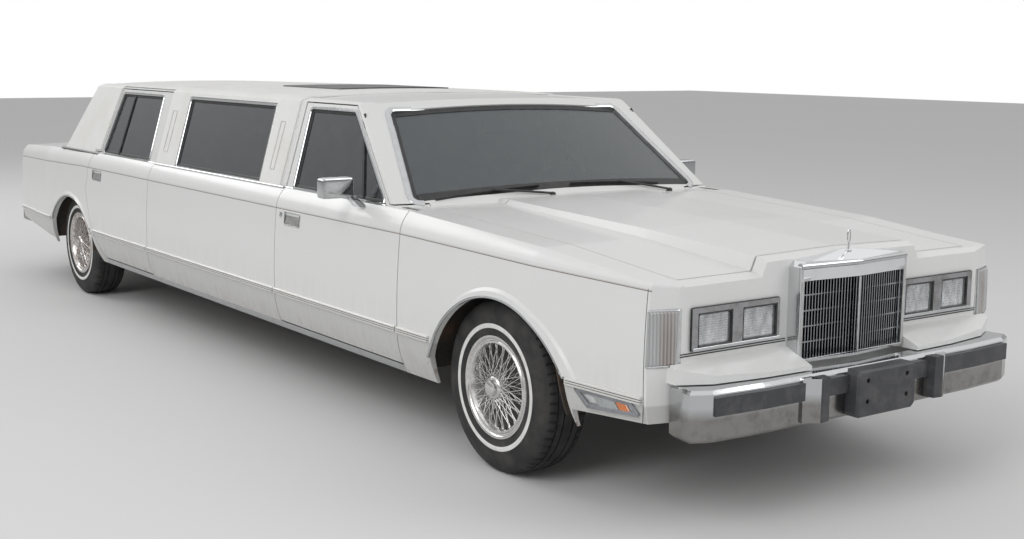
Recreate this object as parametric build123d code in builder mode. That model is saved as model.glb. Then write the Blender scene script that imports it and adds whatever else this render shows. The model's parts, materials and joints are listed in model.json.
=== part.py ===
"""A stretched four-door saloon: a long limousine on a separate frame.

The frame of reference has +X to the front, +Y to the left and +Z up.
The origin is on the floor, under the middle of the car. All sizes are in millimetres.
"""
from build123d import *
import os
from math import hypot

os.makedirs("parts", exist_ok=True)

# Wheels and axles
WHEELBASE = 4808
FRONT_AXLE_X = 2546
REAR_AXLE_X = FRONT_AXLE_X - WHEELBASE
TYRE_RADIUS = 341
TYRE_WIDTH = 215
RIM_RADIUS = 190
RIM_WALL = 9
RIM_WIDTH = 178
FRONT_WHEEL_Y = 790
REAR_WHEEL_Y = 787
KINGPIN_Y = 700
SPINDLE_RADIUS = 22
RUN_FIT = 0.3

# Body lengths
NOSE_X = 3470
TAIL_X = -3455
NOSE_PLATE = 50
TAIL_PLATE = 30
FRONT_REACH = 3696
REAR_REACH = -3696

# Walls and gaps
DOOR_WALL = 58
SKIN = 28
FRAME_WALL = 35
ROOF_WALL = 28
GAP = 6
FRAME_GAP = 13

# Heights
SILL_Z = 285
ROCKER_TOP = 319
WIDE_Z = 470
BELT_Z = 965
FRAME_TOP = 1375
FLOOR_Z = 303
FLOOR_SHEET = 16
REAR_FLOOR_Z = 545

# Cut lines of the doors, on the body's side of each gap
FRONT_DOOR_REAR_X = 798
FRONT_DOOR_FRONT_X = 1944
REAR_DOOR_FRONT_X = -851
REAR_DOOR_REAR_X = -1851

# Lids
HOOD_REAR_X = FRONT_DOOR_FRONT_X
HOOD_FRONT_X = 3411
HOOD_HALF = 762
LID_FRONT_X = -2563
LID_HALF = 697
LID_LOW_Z = 705

# Holes for the registration plates
FRONT_PLATE_HOLE = 9
REAR_PLATE_HOLE = 4
PLATE_HOLE_DEPTH = 30
FRONT_PLATE_Y = (-105, 105)
FRONT_PLATE_Z = (418, 493)
REAR_PLATE_Y = (-88.9, 88.9)
REAR_PLATE_Z = (565.7, 686.3)

# Glass
GLASS = 5
GLASS_SINK = 8

# Body sections: x, sill_y, wide_y, crease_y, crease_z, belt_y, belt_z, edge_z, rise_z, crown_z
BODY_SECTIONS = [
    (TAIL_X, 846, 905, 893, 854, 852, 922, 932, 934, 938),
    (-2760, 905, 957, 939, 876, 894, 953, 957, 959, 961),
    (-1990, 915, 966, 948, 885, 903, 965, 967, 969, 971),
    (1941, 915, 966, 948, 885, 903, 965, 968, 984, 990),
    (2850, 904, 956, 940, 873, 896, 922, 922, 954, 962),
    (NOSE_X - 34, 849, 906, 895, 859, 873, 867, 869, 920, 928),
    (NOSE_X, 765, 806, 797, 850, 778, 853, 855, 906, 914),
]
RISE_Y = 395
RISE_STEP = 22
SIDE_BULGE = 6
SILL_BULGE = 11
SHOULDER_BULGE = 7

# Roof sections: x, crown_z
ROOF_SECTIONS = [(2010, 1390), (1372, 1399), (500, 1411), (-900, 1412), (-2150, 1401), (-2640, 1393)]
VINYL = 8
VINYL_FRONT_X = 745
SUNROOF = 6
GLASS_FOOT_Y = 897
ROOF_SIDE_Y = 774
ROOF_SHOULDER_Y = 690
ROOF_SHOULDER_DROP = 18
SIDE_SLOPE = (GLASS_FOOT_Y - ROOF_SIDE_Y) / (FRAME_TOP - BELT_Z)

# Windscreen and rear window: foot and head on the centre line, and bow radius
SCREEN_FOOT = (1925, 955)
SCREEN_HEAD = (1350, 1404)
SCREEN_BOW = 6500
SCREEN_OPENING = [(-800, 108), (-400, 90), (400, 90), (800, 108), (655, 678), (-655, 678)]
BACK_FOOT = (-2520, 950)
BACK_HEAD = (-2130, 1412)
BACK_BOW = 6000
BACK_OPENING = [(-690, 100), (690, 100), (610, 545), (-610, 545)]

# Side windows: outline corners (x, z)
WINDOW_FOOT = 972
WINDOW_HEAD = 1345
FRONT_OPENING = [
    (FRONT_DOOR_REAR_X, ROCKER_TOP), (FRONT_DOOR_FRONT_X, ROCKER_TOP), (FRONT_DOOR_FRONT_X, 978),
    (1768, 978), (1290, FRAME_TOP), (FRONT_DOOR_REAR_X, FRAME_TOP),
]
REAR_OPENING = [
    (REAR_DOOR_FRONT_X, ROCKER_TOP), (REAR_DOOR_FRONT_X, FRAME_TOP), (-1659, FRAME_TOP), (-1770, 978),
    (REAR_DOOR_REAR_X, 978), (-1908, 723), (-1850, 570), (-1757, 436), (-1640, ROCKER_TOP),
]
FRONT_WINDOW = [(884, WINDOW_FOOT), (1738, WINDOW_FOOT), (1292, WINDOW_HEAD), (866, WINDOW_HEAD)]
MIDDLE_WINDOW = [(-556, WINDOW_FOOT), (510, WINDOW_FOOT), (496, WINDOW_HEAD), (-570, WINDOW_HEAD)]
REAR_WINDOW = [(-1722, WINDOW_FOOT), (-965, WINDOW_FOOT), (-979, WINDOW_HEAD), (-1618, WINDOW_HEAD)]


def block(x_pair, y_pair, z_pair):
    """A rectangular solid between three pairs of limits."""
    size = [high - low for low, high in (x_pair, y_pair, z_pair)]
    centre = [(high + low) / 2 for low, high in (x_pair, y_pair, z_pair)]
    with BuildPart(mode=Mode.PRIVATE) as solid:
        with Locations(tuple(centre)):
            Box(*size)
    return solid.part


def side_prism(outline, y_from, y_to, inset=0):
    """A side-view outline of (x, z) points, drawn in by inset, between two y values."""
    with BuildPart(mode=Mode.PRIVATE) as solid:
        with BuildSketch(Plane.XZ.offset(-y_from)):
            with BuildLine():
                Polyline(*outline, close=True)
            make_face()
            if inset:
                offset(amount=-inset, kind=Kind.INTERSECTION)
        extrude(amount=y_from - y_to)
    return solid.part


def plan_prism(outline, z_from, z_to):
    """A top-view outline of (x, y) points between two heights."""
    with BuildPart(mode=Mode.PRIVATE) as solid:
        with BuildSketch(Plane.XY.offset(z_from)):
            with BuildLine():
                Polyline(*outline, close=True)
            make_face()
        extrude(amount=z_to - z_from)
    return solid.part


def cross_rod(x, z, radius, y_from, y_to):
    """A round rod that lies across the car."""
    with BuildPart(mode=Mode.PRIVATE) as solid:
        with BuildSketch(Plane.XZ.offset(-y_from)):
            with Locations((x, z)):
                Circle(radius)
        extrude(amount=y_from - y_to)
    return solid.part


def body_loft(rows, side_in, top_in, low_z, high_z=None):
    """The body below the belt, through its sections, moved in by a wall's thickness."""
    with BuildPart(mode=Mode.PRIVATE) as solid:
        for x, sill_y, wide_y, crease_y, crease_z, belt_y, belt_z, edge_z, rise_z, crown_z in rows:
            sill = (sill_y - side_in, low_z)
            wide = (wide_y - side_in, WIDE_Z)
            crease = (crease_y - side_in, crease_z - top_in)
            belt = (belt_y - side_in, belt_z - top_in)
            edge = (RISE_Y + RISE_STEP, edge_z - top_in)
            rise = (RISE_Y, rise_z - top_in)
            crown = (0, crown_z - top_in)
            if high_z:
                edge = (RISE_Y + RISE_STEP, high_z)
                rise = (RISE_Y, high_z)
                crown = (0, high_z)
                belt = (belt_y - side_in, high_z)
            with BuildSketch(Plane.YZ.offset(x)):
                with BuildLine():
                    Line((0, low_z), sill)
                    bulged(sill, wide, SILL_BULGE)
                    bulged(wide, crease, SIDE_BULGE)
                    bulged(crease, belt, SHOULDER_BULGE)
                    Polyline(belt, edge, rise, crown)
                    mirror(about=Plane.YZ)
                make_face()
        loft(ruled=True)
    return solid.part


def bulged(start, end, bulge):
    """An arc whose middle stands outward of its chord."""
    chord = hypot(end[0] - start[0], end[1] - start[1])
    out_y = (end[1] - start[1]) / chord
    out_z = (start[0] - end[0]) / chord
    middle = ((start[0] + end[0]) / 2 + bulge * out_y, (start[1] + end[1]) / 2 + bulge * out_z)
    return ThreePointArc(start, middle, end)


def roof_loft(side_in, top_in, low_z):
    """The glasshouse between its sloped sides and the crowned roof, before its ends are cut."""
    with BuildPart(mode=Mode.PRIVATE) as solid:
        for x, crown_z in ROOF_SECTIONS:
            foot = (GLASS_FOOT_Y - side_in + SIDE_SLOPE * (BELT_Z - low_z), low_z)
            gutter = (ROOF_SIDE_Y - side_in, FRAME_TOP)
            shoulder = (ROOF_SHOULDER_Y - side_in, crown_z - ROOF_SHOULDER_DROP - top_in)
            crown = (0, crown_z - top_in)
            if top_in > 0:
                gutter = (ROOF_SIDE_Y - side_in, shoulder[1] - 20)
            with BuildSketch(Plane.YZ.offset(x)):
                with BuildLine():
                    Polyline((0, low_z), foot, gutter)
                    bulged(gutter, shoulder, 9)
                    bulged(shoulder, crown, 5)
                    mirror(about=Plane.YZ)
                make_face()
        loft(ruled=True)
    return solid.part


def bow_plane(foot, head):
    """The plane of a raked window: u runs across the car, v runs up the glass."""
    rise = hypot(head[0] - foot[0], head[1] - foot[1])
    up_x = (head[0] - foot[0]) / rise
    up_z = (head[1] - foot[1]) / rise
    turn = 1 if up_x < 0 else -1
    out = (turn * up_z, 0, -turn * up_x)
    return Plane(origin=(foot[0], 0, foot[1]), x_dir=(0, turn, 0), z_dir=out)


def bow_cylinder(foot, head, bow, sink):
    """The round solid whose wall is a bowed window's face, drawn in by sink."""
    face = bow_plane(foot, head)
    axis_point = Vector(foot[0], 0, foot[1]) - face.z_dir * bow
    turned = Plane(origin=axis_point, x_dir=(0, 1, 0), z_dir=face.y_dir)
    with BuildPart(mode=Mode.PRIVATE) as solid:
        with BuildSketch(turned.offset(-2500)):
            Circle(bow - sink)
        extrude(amount=8500)
    return solid.part


def bow_opening(foot, head, outline, inset=0):
    """A window outline of (u, v) points, cut square through a raked window."""
    with BuildPart(mode=Mode.PRIVATE) as solid:
        with BuildSketch(bow_plane(foot, head)):
            with BuildLine():
                Polyline(*outline, close=True)
            make_face()
            if inset:
                offset(amount=-inset, kind=Kind.INTERSECTION)
        extrude(amount=320, both=True)
    return solid.part


def save(name, part):
    """Label a piece and write it as its own file."""
    part.label = name
    export_step(part, f"parts/{name}.step")


# Master solids of the body
cabin_front_x = BODY_SECTIONS[3][0]
cabin_rear_x = -2060
body_outer = body_loft(BODY_SECTIONS, 0, 0, SILL_Z)
body_hollow_front = body_loft(BODY_SECTIONS[3:], SKIN, SKIN, SILL_Z - 40)
body_hollow_rear = body_loft(BODY_SECTIONS[:3], SKIN, SKIN, SILL_Z - 40)
body_hollow_mid = body_loft(BODY_SECTIONS[1:5], DOOR_WALL, 0, SILL_Z - 40, 1010)

with BuildPart() as body_shell:
    add(body_outer)
    add(body_hollow_mid & block((cabin_rear_x, cabin_front_x), (-1000, 1000), (200, 1020)), mode=Mode.SUBTRACT)
    add(body_hollow_front & block((cabin_front_x, NOSE_X - NOSE_PLATE), (-1000, 1000), (200, 1020)),
        mode=Mode.SUBTRACT)
    add(body_hollow_rear & block((TAIL_X + TAIL_PLATE, cabin_rear_x), (-1000, 1000), (200, 1020)),
        mode=Mode.SUBTRACT)

glass_outer = roof_loft(0, 0, 940)
glass_hollow = roof_loft(FRAME_WALL, ROOF_WALL, 900)
screen_face = bow_cylinder(SCREEN_FOOT, SCREEN_HEAD, SCREEN_BOW, 0)
back_face = bow_cylinder(BACK_FOOT, BACK_HEAD, BACK_BOW, 0)

with BuildPart() as glasshouse:
    add(glass_outer)
    add(screen_face, mode=Mode.INTERSECT)
    add(back_face, mode=Mode.INTERSECT)

with BuildPart() as glasshouse_hollow:
    add(glass_hollow)
    add(bow_cylinder(SCREEN_FOOT, SCREEN_HEAD, SCREEN_BOW, FRAME_WALL), mode=Mode.INTERSECT)
    add(bow_cylinder(BACK_FOOT, BACK_HEAD, BACK_BOW, FRAME_WALL), mode=Mode.INTERSECT)

with BuildPart() as glass_shell:
    add(glasshouse.part)
    add(glasshouse_hollow.part, mode=Mode.SUBTRACT)
    add(body_outer, mode=Mode.SUBTRACT)

with BuildPart() as car_shell:
    add(body_shell.part)
    add(glass_shell.part)

# Wheel arches and the rising underside at both ends
FRONT_ARCH = [(2178, 400), (2575, 706), (3035, 480)]
REAR_ARCH = [(-2618, 470), (-2240, 661), (-1820, 457)]
with BuildPart() as front_arch:
    with BuildSketch(Plane.XZ.offset(1000)):
        with BuildLine():
            ThreePointArc(*FRONT_ARCH)
            Polyline(FRONT_ARCH[2], (3075, 200), (2175, 200), FRONT_ARCH[0])
        make_face()
    extrude(amount=-2000)

with BuildPart() as rear_arch:
    with BuildSketch(Plane.XZ.offset(1000)):
        with BuildLine():
            ThreePointArc(*REAR_ARCH)
            Polyline(REAR_ARCH[2], (-1690, 200), (-2660, 200), REAR_ARCH[0])
        make_face()
    extrude(amount=-2000)

FLARE_WIDTH = 62
FLARE_RISE = 8
FLARE_LIP = 6
FLARE_FOOT_Y = 935
FLARE_BACK_Y = 930
FLARE_LOW_Z = 489
widest_y = max(row[2] for row in BODY_SECTIONS)
body_grown = body_loft(BODY_SECTIONS, -FLARE_RISE, -FLARE_RISE, SILL_Z)


def flare(start, middle, end):
    """A soft lip round an arch on the right side: a cone that leans out towards the arch, cut by the grown body."""
    arch = ThreePointArc(start, middle, end)
    centre_x, centre_z, radius = arch.arc_center.X, arch.arc_center.Y, arch.radius
    lip_y = widest_y + FLARE_RISE
    outline = [(-FLARE_BACK_Y, radius), (-lip_y, radius), (-lip_y, radius + FLARE_LIP),
               (-FLARE_FOOT_Y, radius + FLARE_WIDTH), (-FLARE_BACK_Y, radius + FLARE_WIDTH)]
    with BuildPart(mode=Mode.PRIVATE) as solid:
        with BuildSketch(Plane.YZ.offset(centre_x)):
            with BuildLine():
                Polyline(*[(y, centre_z + r) for y, r in outline], close=True)
            make_face()
        revolve(axis=Axis((centre_x, 0, centre_z), (0, 1, 0)))
        add(block((centre_x - 800, centre_x + 800), (-1000, 0), (FLARE_LOW_Z, 900)), mode=Mode.INTERSECT)
        add(body_grown, mode=Mode.INTERSECT)
        add(body_hollow_front, mode=Mode.SUBTRACT)
        add(body_hollow_rear, mode=Mode.SUBTRACT)
    return solid.part


front_tuck = side_prism([(3060, 200), (3060, 372), (NOSE_X + 10, 400), (NOSE_X + 10, 200)], -1000, 1000)
rear_tuck = side_prism([(-2620, 200), (-2650, 335), (TAIL_X - 10, 400), (TAIL_X - 10, 200)], -1000, 1000)

# Doors: the whole wall inside each opening, less its gap, with a shallow pocket behind the handle
HANDLE_Z = (803, 863)
HANDLE_DEPTH_Y = 946
# end, opening, window, handle's x limits, strip cut away beside the window
door_table = [
    ("front", FRONT_OPENING, FRONT_WINDOW, (896, 1050),
     [(FRONT_DOOR_REAR_X - 20, 975), (FRONT_DOOR_REAR_X + FRAME_GAP, 975),
      (FRONT_DOOR_REAR_X + FRAME_GAP, 1400), (FRONT_DOOR_REAR_X - 20, 1400)]),
    ("rear", REAR_OPENING, REAR_WINDOW, (-1784, -1630),
     [(-1770 - 40, 975), (-1770 + FRAME_GAP, 975), (-1659 + FRAME_GAP + 7, 1400), (-1659 - 40, 1400)]),
]
LEAN = hypot(1, SIDE_SLOPE)
DOOR_INNER_Y = 738


def side_pane(window):
    """Flat glass, sunk into the sloping side, within a window's outline on the right side."""
    outer_low = -(GLASS_FOOT_Y + SIDE_SLOPE * 40 - GLASS_SINK * LEAN)
    outer_high = -(GLASS_FOOT_Y - SIDE_SLOPE * 440 - GLASS_SINK * LEAN)
    with BuildPart(mode=Mode.PRIVATE) as solid:
        with BuildSketch(Plane.YZ.offset(-2640)):
            with BuildLine():
                Polyline((outer_low, BELT_Z - 40), (outer_high, BELT_Z + 440),
                         (outer_high + GLASS * LEAN, BELT_Z + 440), (outer_low + GLASS * LEAN, BELT_Z - 40),
                         close=True)
            make_face()
        extrude(amount=4640)
        add(side_prism(window, -1000, -600), mode=Mode.INTERSECT)
    return solid.part


for end, opening, window, handle_x, strip in door_table:
    with BuildPart() as door:
        add(car_shell.part)
        add(side_prism(opening, -1000, -DOOR_INNER_Y, GAP), mode=Mode.INTERSECT)
        add(side_prism(strip, -1000, -600), mode=Mode.SUBTRACT)
        add(side_prism(window, -1000, -600), mode=Mode.SUBTRACT)
        add(block(handle_x, (-1000, -HANDLE_DEPTH_Y), HANDLE_Z), mode=Mode.SUBTRACT)
    pane = side_pane(window)
    save(f"{end}_door_right", door.part)
    save(f"{end}_door_left", mirror(door.part, about=Plane.XZ))
    save(f"{end}_door_glass_right", pane)
    save(f"{end}_door_glass_left", mirror(pane, about=Plane.XZ))

# Ledges and seals that the doors and the lids shut against
SEAL_FIT = 0.3
SEAL = 22
SEAL_LAP = 14
LEDGE = 36

# Fixed body panels
with BuildPart() as stretch_panels:
    add(car_shell.part)
    add(block((REAR_DOOR_FRONT_X, FRONT_DOOR_REAR_X), (-1000, -600), (ROCKER_TOP, FRAME_TOP)),
        mode=Mode.INTERSECT)
    add(side_prism(MIDDLE_WINDOW, -1000, -600), mode=Mode.SUBTRACT)
    mirror(about=Plane.XZ)
save("stretch_panels", stretch_panels.part)

with BuildPart() as side_glass:
    add(side_pane(MIDDLE_WINDOW))
    mirror(about=Plane.XZ)
save("side_glass", side_glass.part)

with BuildPart() as rocker_panels:
    add(body_shell.part)
    add(block((-1640, FRONT_DOOR_FRONT_X), (-1000, -600), (SILL_Z, ROCKER_TOP)), mode=Mode.INTERSECT)
    mirror(about=Plane.XZ)
save("rocker_panels", rocker_panels.part)

LEDGE_Z = 536
corner_lamp_pocket = block((NOSE_X - 40, NOSE_X + 5), (-950, -788), (589, 783))
side_marker_pocket = side_prism([(3091, 474), (3369, 477), (3410, 421), (3160, 403)], -1000, -850)

with BuildPart() as front_fenders:
    add(body_shell.part)
    add(block((FRONT_DOOR_FRONT_X, NOSE_X - NOSE_PLATE), (-1000, -HOOD_HALF - GAP), (SILL_Z - 1, 1010)),
        mode=Mode.INTERSECT)
    add(flare(*FRONT_ARCH))
    add(front_arch.part, mode=Mode.SUBTRACT)
    add(front_tuck, mode=Mode.SUBTRACT)
    add(side_marker_pocket, mode=Mode.SUBTRACT)
    mirror(about=Plane.XZ)
save("front_fenders", front_fenders.part)

with BuildPart() as side_marker:
    add(body_shell.part)
    add(side_marker_pocket, mode=Mode.INTERSECT)

with BuildPart() as corner_lamps:
    add(body_outer)
    add(corner_lamp_pocket, mode=Mode.INTERSECT)
    add(side_marker.part)
    mirror(about=Plane.XZ)
save("corner_lamps", corner_lamps.part)

lid_space = block((TAIL_X - 5, LID_FRONT_X + GAP), (-LID_HALF - GAP, LID_HALF + GAP), (LID_LOW_Z - GAP, 1010))
rear_flare = flare(*REAR_ARCH)
with BuildPart() as lid_ledge:
    add(body_loft(BODY_SECTIONS[:3], SKIN + SEAL_FIT, SKIN + SEAL_FIT, SILL_Z))
    add(block((LID_FRONT_X - LEDGE, LID_FRONT_X + GAP + LEDGE), (-LID_HALF, LID_HALF), (880, 1010)),
        mode=Mode.INTERSECT)
    add(body_outer & block((LID_FRONT_X + GAP, LID_FRONT_X + GAP + LEDGE), (-LID_HALF, LID_HALF), (900, 1010)))

with BuildPart() as quarter_panels:
    add(body_shell.part)
    add(block((TAIL_X + TAIL_PLATE, -1640), (-1000, 1000), (SILL_Z - 1, 1010)), mode=Mode.INTERSECT)
    add(rear_flare)
    mirror(rear_flare, about=Plane.XZ)
    add(side_prism(REAR_OPENING, -1000, 1000), mode=Mode.SUBTRACT)
    add(rear_arch.part, mode=Mode.SUBTRACT)
    add(rear_tuck, mode=Mode.SUBTRACT)
    add(lid_space, mode=Mode.SUBTRACT)
    add(lid_ledge.part)
save("quarter_panels", quarter_panels.part)

with BuildPart() as trunk_lid:
    add(body_shell.part)
    add(block((TAIL_X - 5, LID_FRONT_X), (-LID_HALF, LID_HALF), (LID_LOW_Z, 1010)), mode=Mode.INTERSECT)
save("trunk_lid", trunk_lid.part)

TAIL_LEDGE = [(TAIL_X + 10, 840), (-3500, 840), (-3580, 730), (-3622, 500), (-3626, 0)]
tail_ledge = (side_prism([(TAIL_X + 10, 585), (-3640, 552), (-3640, LEDGE_Z), (TAIL_X + 10, LEDGE_Z)], -850, 850)
              & plan_prism(TAIL_LEDGE + [(x, -y) for x, y in reversed(TAIL_LEDGE[:-1])], 500, 650))
tail_lamp_pocket = block((TAIL_X - 15, TAIL_X + 15), (-845, -717), (570, 850))
with BuildPart() as tail_panel:
    add(body_outer)
    add(block((TAIL_X, TAIL_X + TAIL_PLATE), (-1000, 1000), (SILL_Z - 1, 1010)), mode=Mode.INTERSECT)
    add(tail_ledge)
    add(rear_tuck, mode=Mode.SUBTRACT)
    add(lid_space, mode=Mode.SUBTRACT)
    add(tail_lamp_pocket, mode=Mode.SUBTRACT)
    mirror(tail_lamp_pocket, about=Plane.XZ, mode=Mode.SUBTRACT)
    with Locations(*[Plane(origin=(TAIL_X, y, z), x_dir=(0, -1, 0), z_dir=(-1, 0, 0))
                     for y in REAR_PLATE_Y for z in REAR_PLATE_Z]):
        Hole(REAR_PLATE_HOLE, depth=TAIL_PLATE)
save("tail_panel", tail_panel.part)

with BuildPart() as tail_lamps:
    add(tail_lamp_pocket)
    mirror(about=Plane.XZ)
save("tail_lamps", tail_lamps.part)

with BuildPart() as hood:
    add(body_shell.part)
    add(block((HOOD_REAR_X, HOOD_FRONT_X), (-HOOD_HALF, HOOD_HALF), (780, 1010)), mode=Mode.INTERSECT)
save("hood", hood.part)

# Nose: a plate with pockets for the lamps and the grille
HEADLAMP_POCKET_X = NOSE_X - 20
BEZEL_Y = (335, 750)
BEZEL_Z = (635, 780)
LAMPS_Y = [(347, 515), (563, 724)]
LAMP_Z = (643, 762)
headlamp_pocket = block((HEADLAMP_POCKET_X, NOSE_X + 5), (-BEZEL_Y[1], -BEZEL_Y[0]), BEZEL_Z)
NOSE_LEDGE = [(NOSE_X - 40, 840), (3501, 840), (3560, 720), (3588, 500), (3596, 286)]
nose_ledge = (side_prism([(NOSE_X - 40, 617), (3600, 549), (3600, LEDGE_Z), (NOSE_X - 40, LEDGE_Z)], -850, 850)
              & plan_prism(NOSE_LEDGE + [(x, -y) for x, y in reversed(NOSE_LEDGE)], 500, 650))
radiator_support = (body_loft(BODY_SECTIONS[3:], SKIN + SEAL_FIT, SKIN + SEAL_FIT, SILL_Z)
                    & block((NOSE_X - NOSE_PLATE - LEDGE, NOSE_X - NOSE_PLATE), (-720, 720), (760, 1010)))
with BuildPart() as nose_panel:
    add(body_outer)
    add(block((NOSE_X - NOSE_PLATE, NOSE_X), (-1000, 1000), (SILL_Z - 1, 1010)), mode=Mode.INTERSECT)
    add(nose_ledge)
    add(front_tuck, mode=Mode.SUBTRACT)
    for pocket in (corner_lamp_pocket, headlamp_pocket):
        add(pocket, mode=Mode.SUBTRACT)
        mirror(pocket, about=Plane.XZ, mode=Mode.SUBTRACT)
    add(block((NOSE_X, 3600), (-286, 286), (500, 1010)), mode=Mode.SUBTRACT)
    add(radiator_support)
save("nose_panel", nose_panel.part)

with BuildPart() as headlamp_bezels:
    add(block((HEADLAMP_POCKET_X, NOSE_X + 12), (-BEZEL_Y[1], -BEZEL_Y[0]), BEZEL_Z))
    for inner_y, outer_y in LAMPS_Y:
        add(block((HEADLAMP_POCKET_X - 1, NOSE_X + 13), (-outer_y, -inner_y), LAMP_Z), mode=Mode.SUBTRACT)
    mirror(about=Plane.XZ)
save("headlamp_bezels", headlamp_bezels.part)

with BuildPart() as headlamps:
    for inner_y, outer_y in LAMPS_Y:
        add(block((HEADLAMP_POCKET_X, NOSE_X + 3), (-outer_y, -inner_y), LAMP_Z))
    mirror(about=Plane.XZ)
save("headlamps", headlamps.part)

# Grille: a peaked shell with fine upright bars on four rows
GRILLE_HALF = 285
GRILLE_LOW_Z = 546
GRILLE_FRONT_X = 3551
GRILLE_SWEEP = 0.085
BAR_PITCH = 14
BAR_WIDTH = 4
grille_outline = [(-GRILLE_HALF, GRILLE_LOW_Z), (GRILLE_HALF, GRILLE_LOW_Z), (GRILLE_HALF, 884), (264, 902),
                  (20, 926), (-20, 926), (-264, 902), (-GRILLE_HALF, 884)]
grille_window = [(-268, 556), (268, 556), (268, 836), (-268, 836)]
sweep_drop = GRILLE_HALF * GRILLE_SWEEP
with BuildPart() as grille:
    with BuildSketch(Plane.YZ.offset(NOSE_X)):
        with BuildLine():
            Polyline(*grille_outline, close=True)
        make_face()
        with BuildLine():
            Polyline(*grille_window, close=True)
        make_face(mode=Mode.SUBTRACT)
    extrude(amount=GRILLE_FRONT_X - NOSE_X)
    bar_count = int(268 / BAR_PITCH)
    for number in range(-bar_count, bar_count + 1):
        bar_y = number * BAR_PITCH
        face_x = GRILLE_FRONT_X - 16 - abs(bar_y) * GRILLE_SWEEP
        add(block((face_x - 14, face_x), (bar_y - BAR_WIDTH / 2, bar_y + BAR_WIDTH / 2), (552, 840)))
    for row_z in (612, 668, 724, 780):
        with BuildSketch(Plane.XY.offset(row_z)):
            with BuildLine():
                Polyline((3496, -270), (3514, -270), (3524, 0), (3514, 270), (3496, 270), (3506, 0), close=True)
            make_face()
        extrude(amount=5)
    add(plan_prism([(GRILLE_FRONT_X, 0), (GRILLE_FRONT_X - sweep_drop, -GRILLE_HALF),
                    (GRILLE_FRONT_X + 40, -GRILLE_HALF - 10), (GRILLE_FRONT_X + 40, GRILLE_HALF + 10),
                    (GRILLE_FRONT_X - sweep_drop, GRILLE_HALF)], 500, 1000), mode=Mode.SUBTRACT)
    add(side_prism([(NOSE_X, 928), (GRILLE_FRONT_X + 9, 893), (GRILLE_FRONT_X + 9, 1000), (NOSE_X, 1000)],
                   -400, 400), mode=Mode.SUBTRACT)
save("grille", grille.part)

with BuildPart() as hood_ornament:
    add(block((3478, 3500), (-4, 4), (915, 1000)))
    chamfer(hood_ornament.edges().filter_by(Axis.Y).group_by(Axis.Z)[-1], 8)
    add(grille.part, mode=Mode.SUBTRACT)
save("hood_ornament", hood_ornament.part)

# Bumpers, which the frame's rails carry by flat arms
RAIL_Y = (400, 470)
RAIL_FRONT_X = NOSE_X - NOSE_PLATE
FRONT_ARM_Z = (364, 390)
BUMPER_LOW_Z = 357
BUMPER_HIGH_Z = 533
BUMPER_EDGE = 12
FRONT_BUMPER_OUTER = [(3476, 838), (3586, 853), (3622, 780), (3638, 560), (3642, 0)]
FRONT_BUMPER_INNER = [(3476, 800), (3500, 795), (3530, 740), (3560, 540), (3575, 0)]
FRONT_STRIP_OUTER = [(3636, 782), (3652, 561), (3656, 0)]
REAR_BUMPER_OUTER = [(-3470, 856), (-3606, 862), (-3652, 780), (-3674, 560), (-3679, 0)]
REAR_BUMPER_INNER = [(-3470, 820), (-3560, 810), (-3596, 740), (-3606, 540), (-3612, 0)]
REAR_STRIP_OUTER = [(-3667, 782), (-3690, 561), (REAR_REACH, 0)]
STRIP_Z = (450, 512)
GUARD_Z = (372, 527)
GUARD_OUTLINE = [(3600, 385), (3648, 385), (3682, 336), (3682, 330), (3600, 330)]
GUARD_PAD = [(3640, 330), (3682, 330), (3684, 322), (3680, 285), (3640, 275)]
BRACKET_Y = 158
BRACKET_Z = (362, 530)


def both_sides(line):
    """A top-view line from one side to the middle, carried on to the other side."""
    return line + [(x, -y) for x, y in reversed(line[:-1])]


def bumper_bar(outer, inner):
    """A bumper that wraps round both corners, with its top and bottom edges chamfered."""
    with BuildPart(mode=Mode.PRIVATE) as bar:
        add(plan_prism(both_sides(outer), BUMPER_LOW_Z, BUMPER_HIGH_Z))
        chamfer(bar.faces().sort_by(Axis.Z)[-1].edges() + bar.faces().sort_by(Axis.Z)[0].edges(), BUMPER_EDGE)
        add(plan_prism(both_sides(inner), BUMPER_LOW_Z - 1, BUMPER_HIGH_Z + 1), mode=Mode.SUBTRACT)
    return bar.part


def rub_strip(outer, inner):
    """A strip on a bumper's face."""
    return plan_prism(both_sides(outer) + list(reversed(both_sides(inner))), *STRIP_Z)


front_bar = bumper_bar(FRONT_BUMPER_OUTER, FRONT_BUMPER_INNER)
with BuildPart() as front_guards:
    add(plan_prism(GUARD_OUTLINE, *GUARD_Z))
    mirror(about=Plane.XZ)

with BuildPart() as guard_pads:
    add(plan_prism(GUARD_PAD, *GUARD_Z))
    mirror(about=Plane.XZ)

with BuildPart() as front_bumper:
    add(front_bar)
    add(front_guards.part)
    for side in (1, -1):
        add(block((RAIL_FRONT_X, 3600), sorted((side * RAIL_Y[0], side * RAIL_Y[1])), FRONT_ARM_Z))
save("front_bumper", front_bumper.part)

with BuildPart() as plate_bracket:
    add(block((3600, FRONT_REACH), (-BRACKET_Y, BRACKET_Y), BRACKET_Z))
    chamfer(plate_bracket.edges().filter_by(Axis.X), 16)
    chamfer(plate_bracket.faces().sort_by(Axis.X)[-1].edges(), 8)
    with Locations(*[Plane(origin=(FRONT_REACH, y, z), x_dir=(0, 1, 0), z_dir=(1, 0, 0))
                     for y in FRONT_PLATE_Y for z in FRONT_PLATE_Z]):
        Hole(FRONT_PLATE_HOLE, depth=PLATE_HOLE_DEPTH)
    add(front_bar, mode=Mode.SUBTRACT)
save("plate_bracket", plate_bracket.part)

with BuildPart() as front_rub_strip:
    add(rub_strip(FRONT_STRIP_OUTER, FRONT_BUMPER_OUTER[2:]))
    add(guard_pads.part)
    add(front_bumper.part, mode=Mode.SUBTRACT)
    add(plate_bracket.part, mode=Mode.SUBTRACT)

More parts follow.
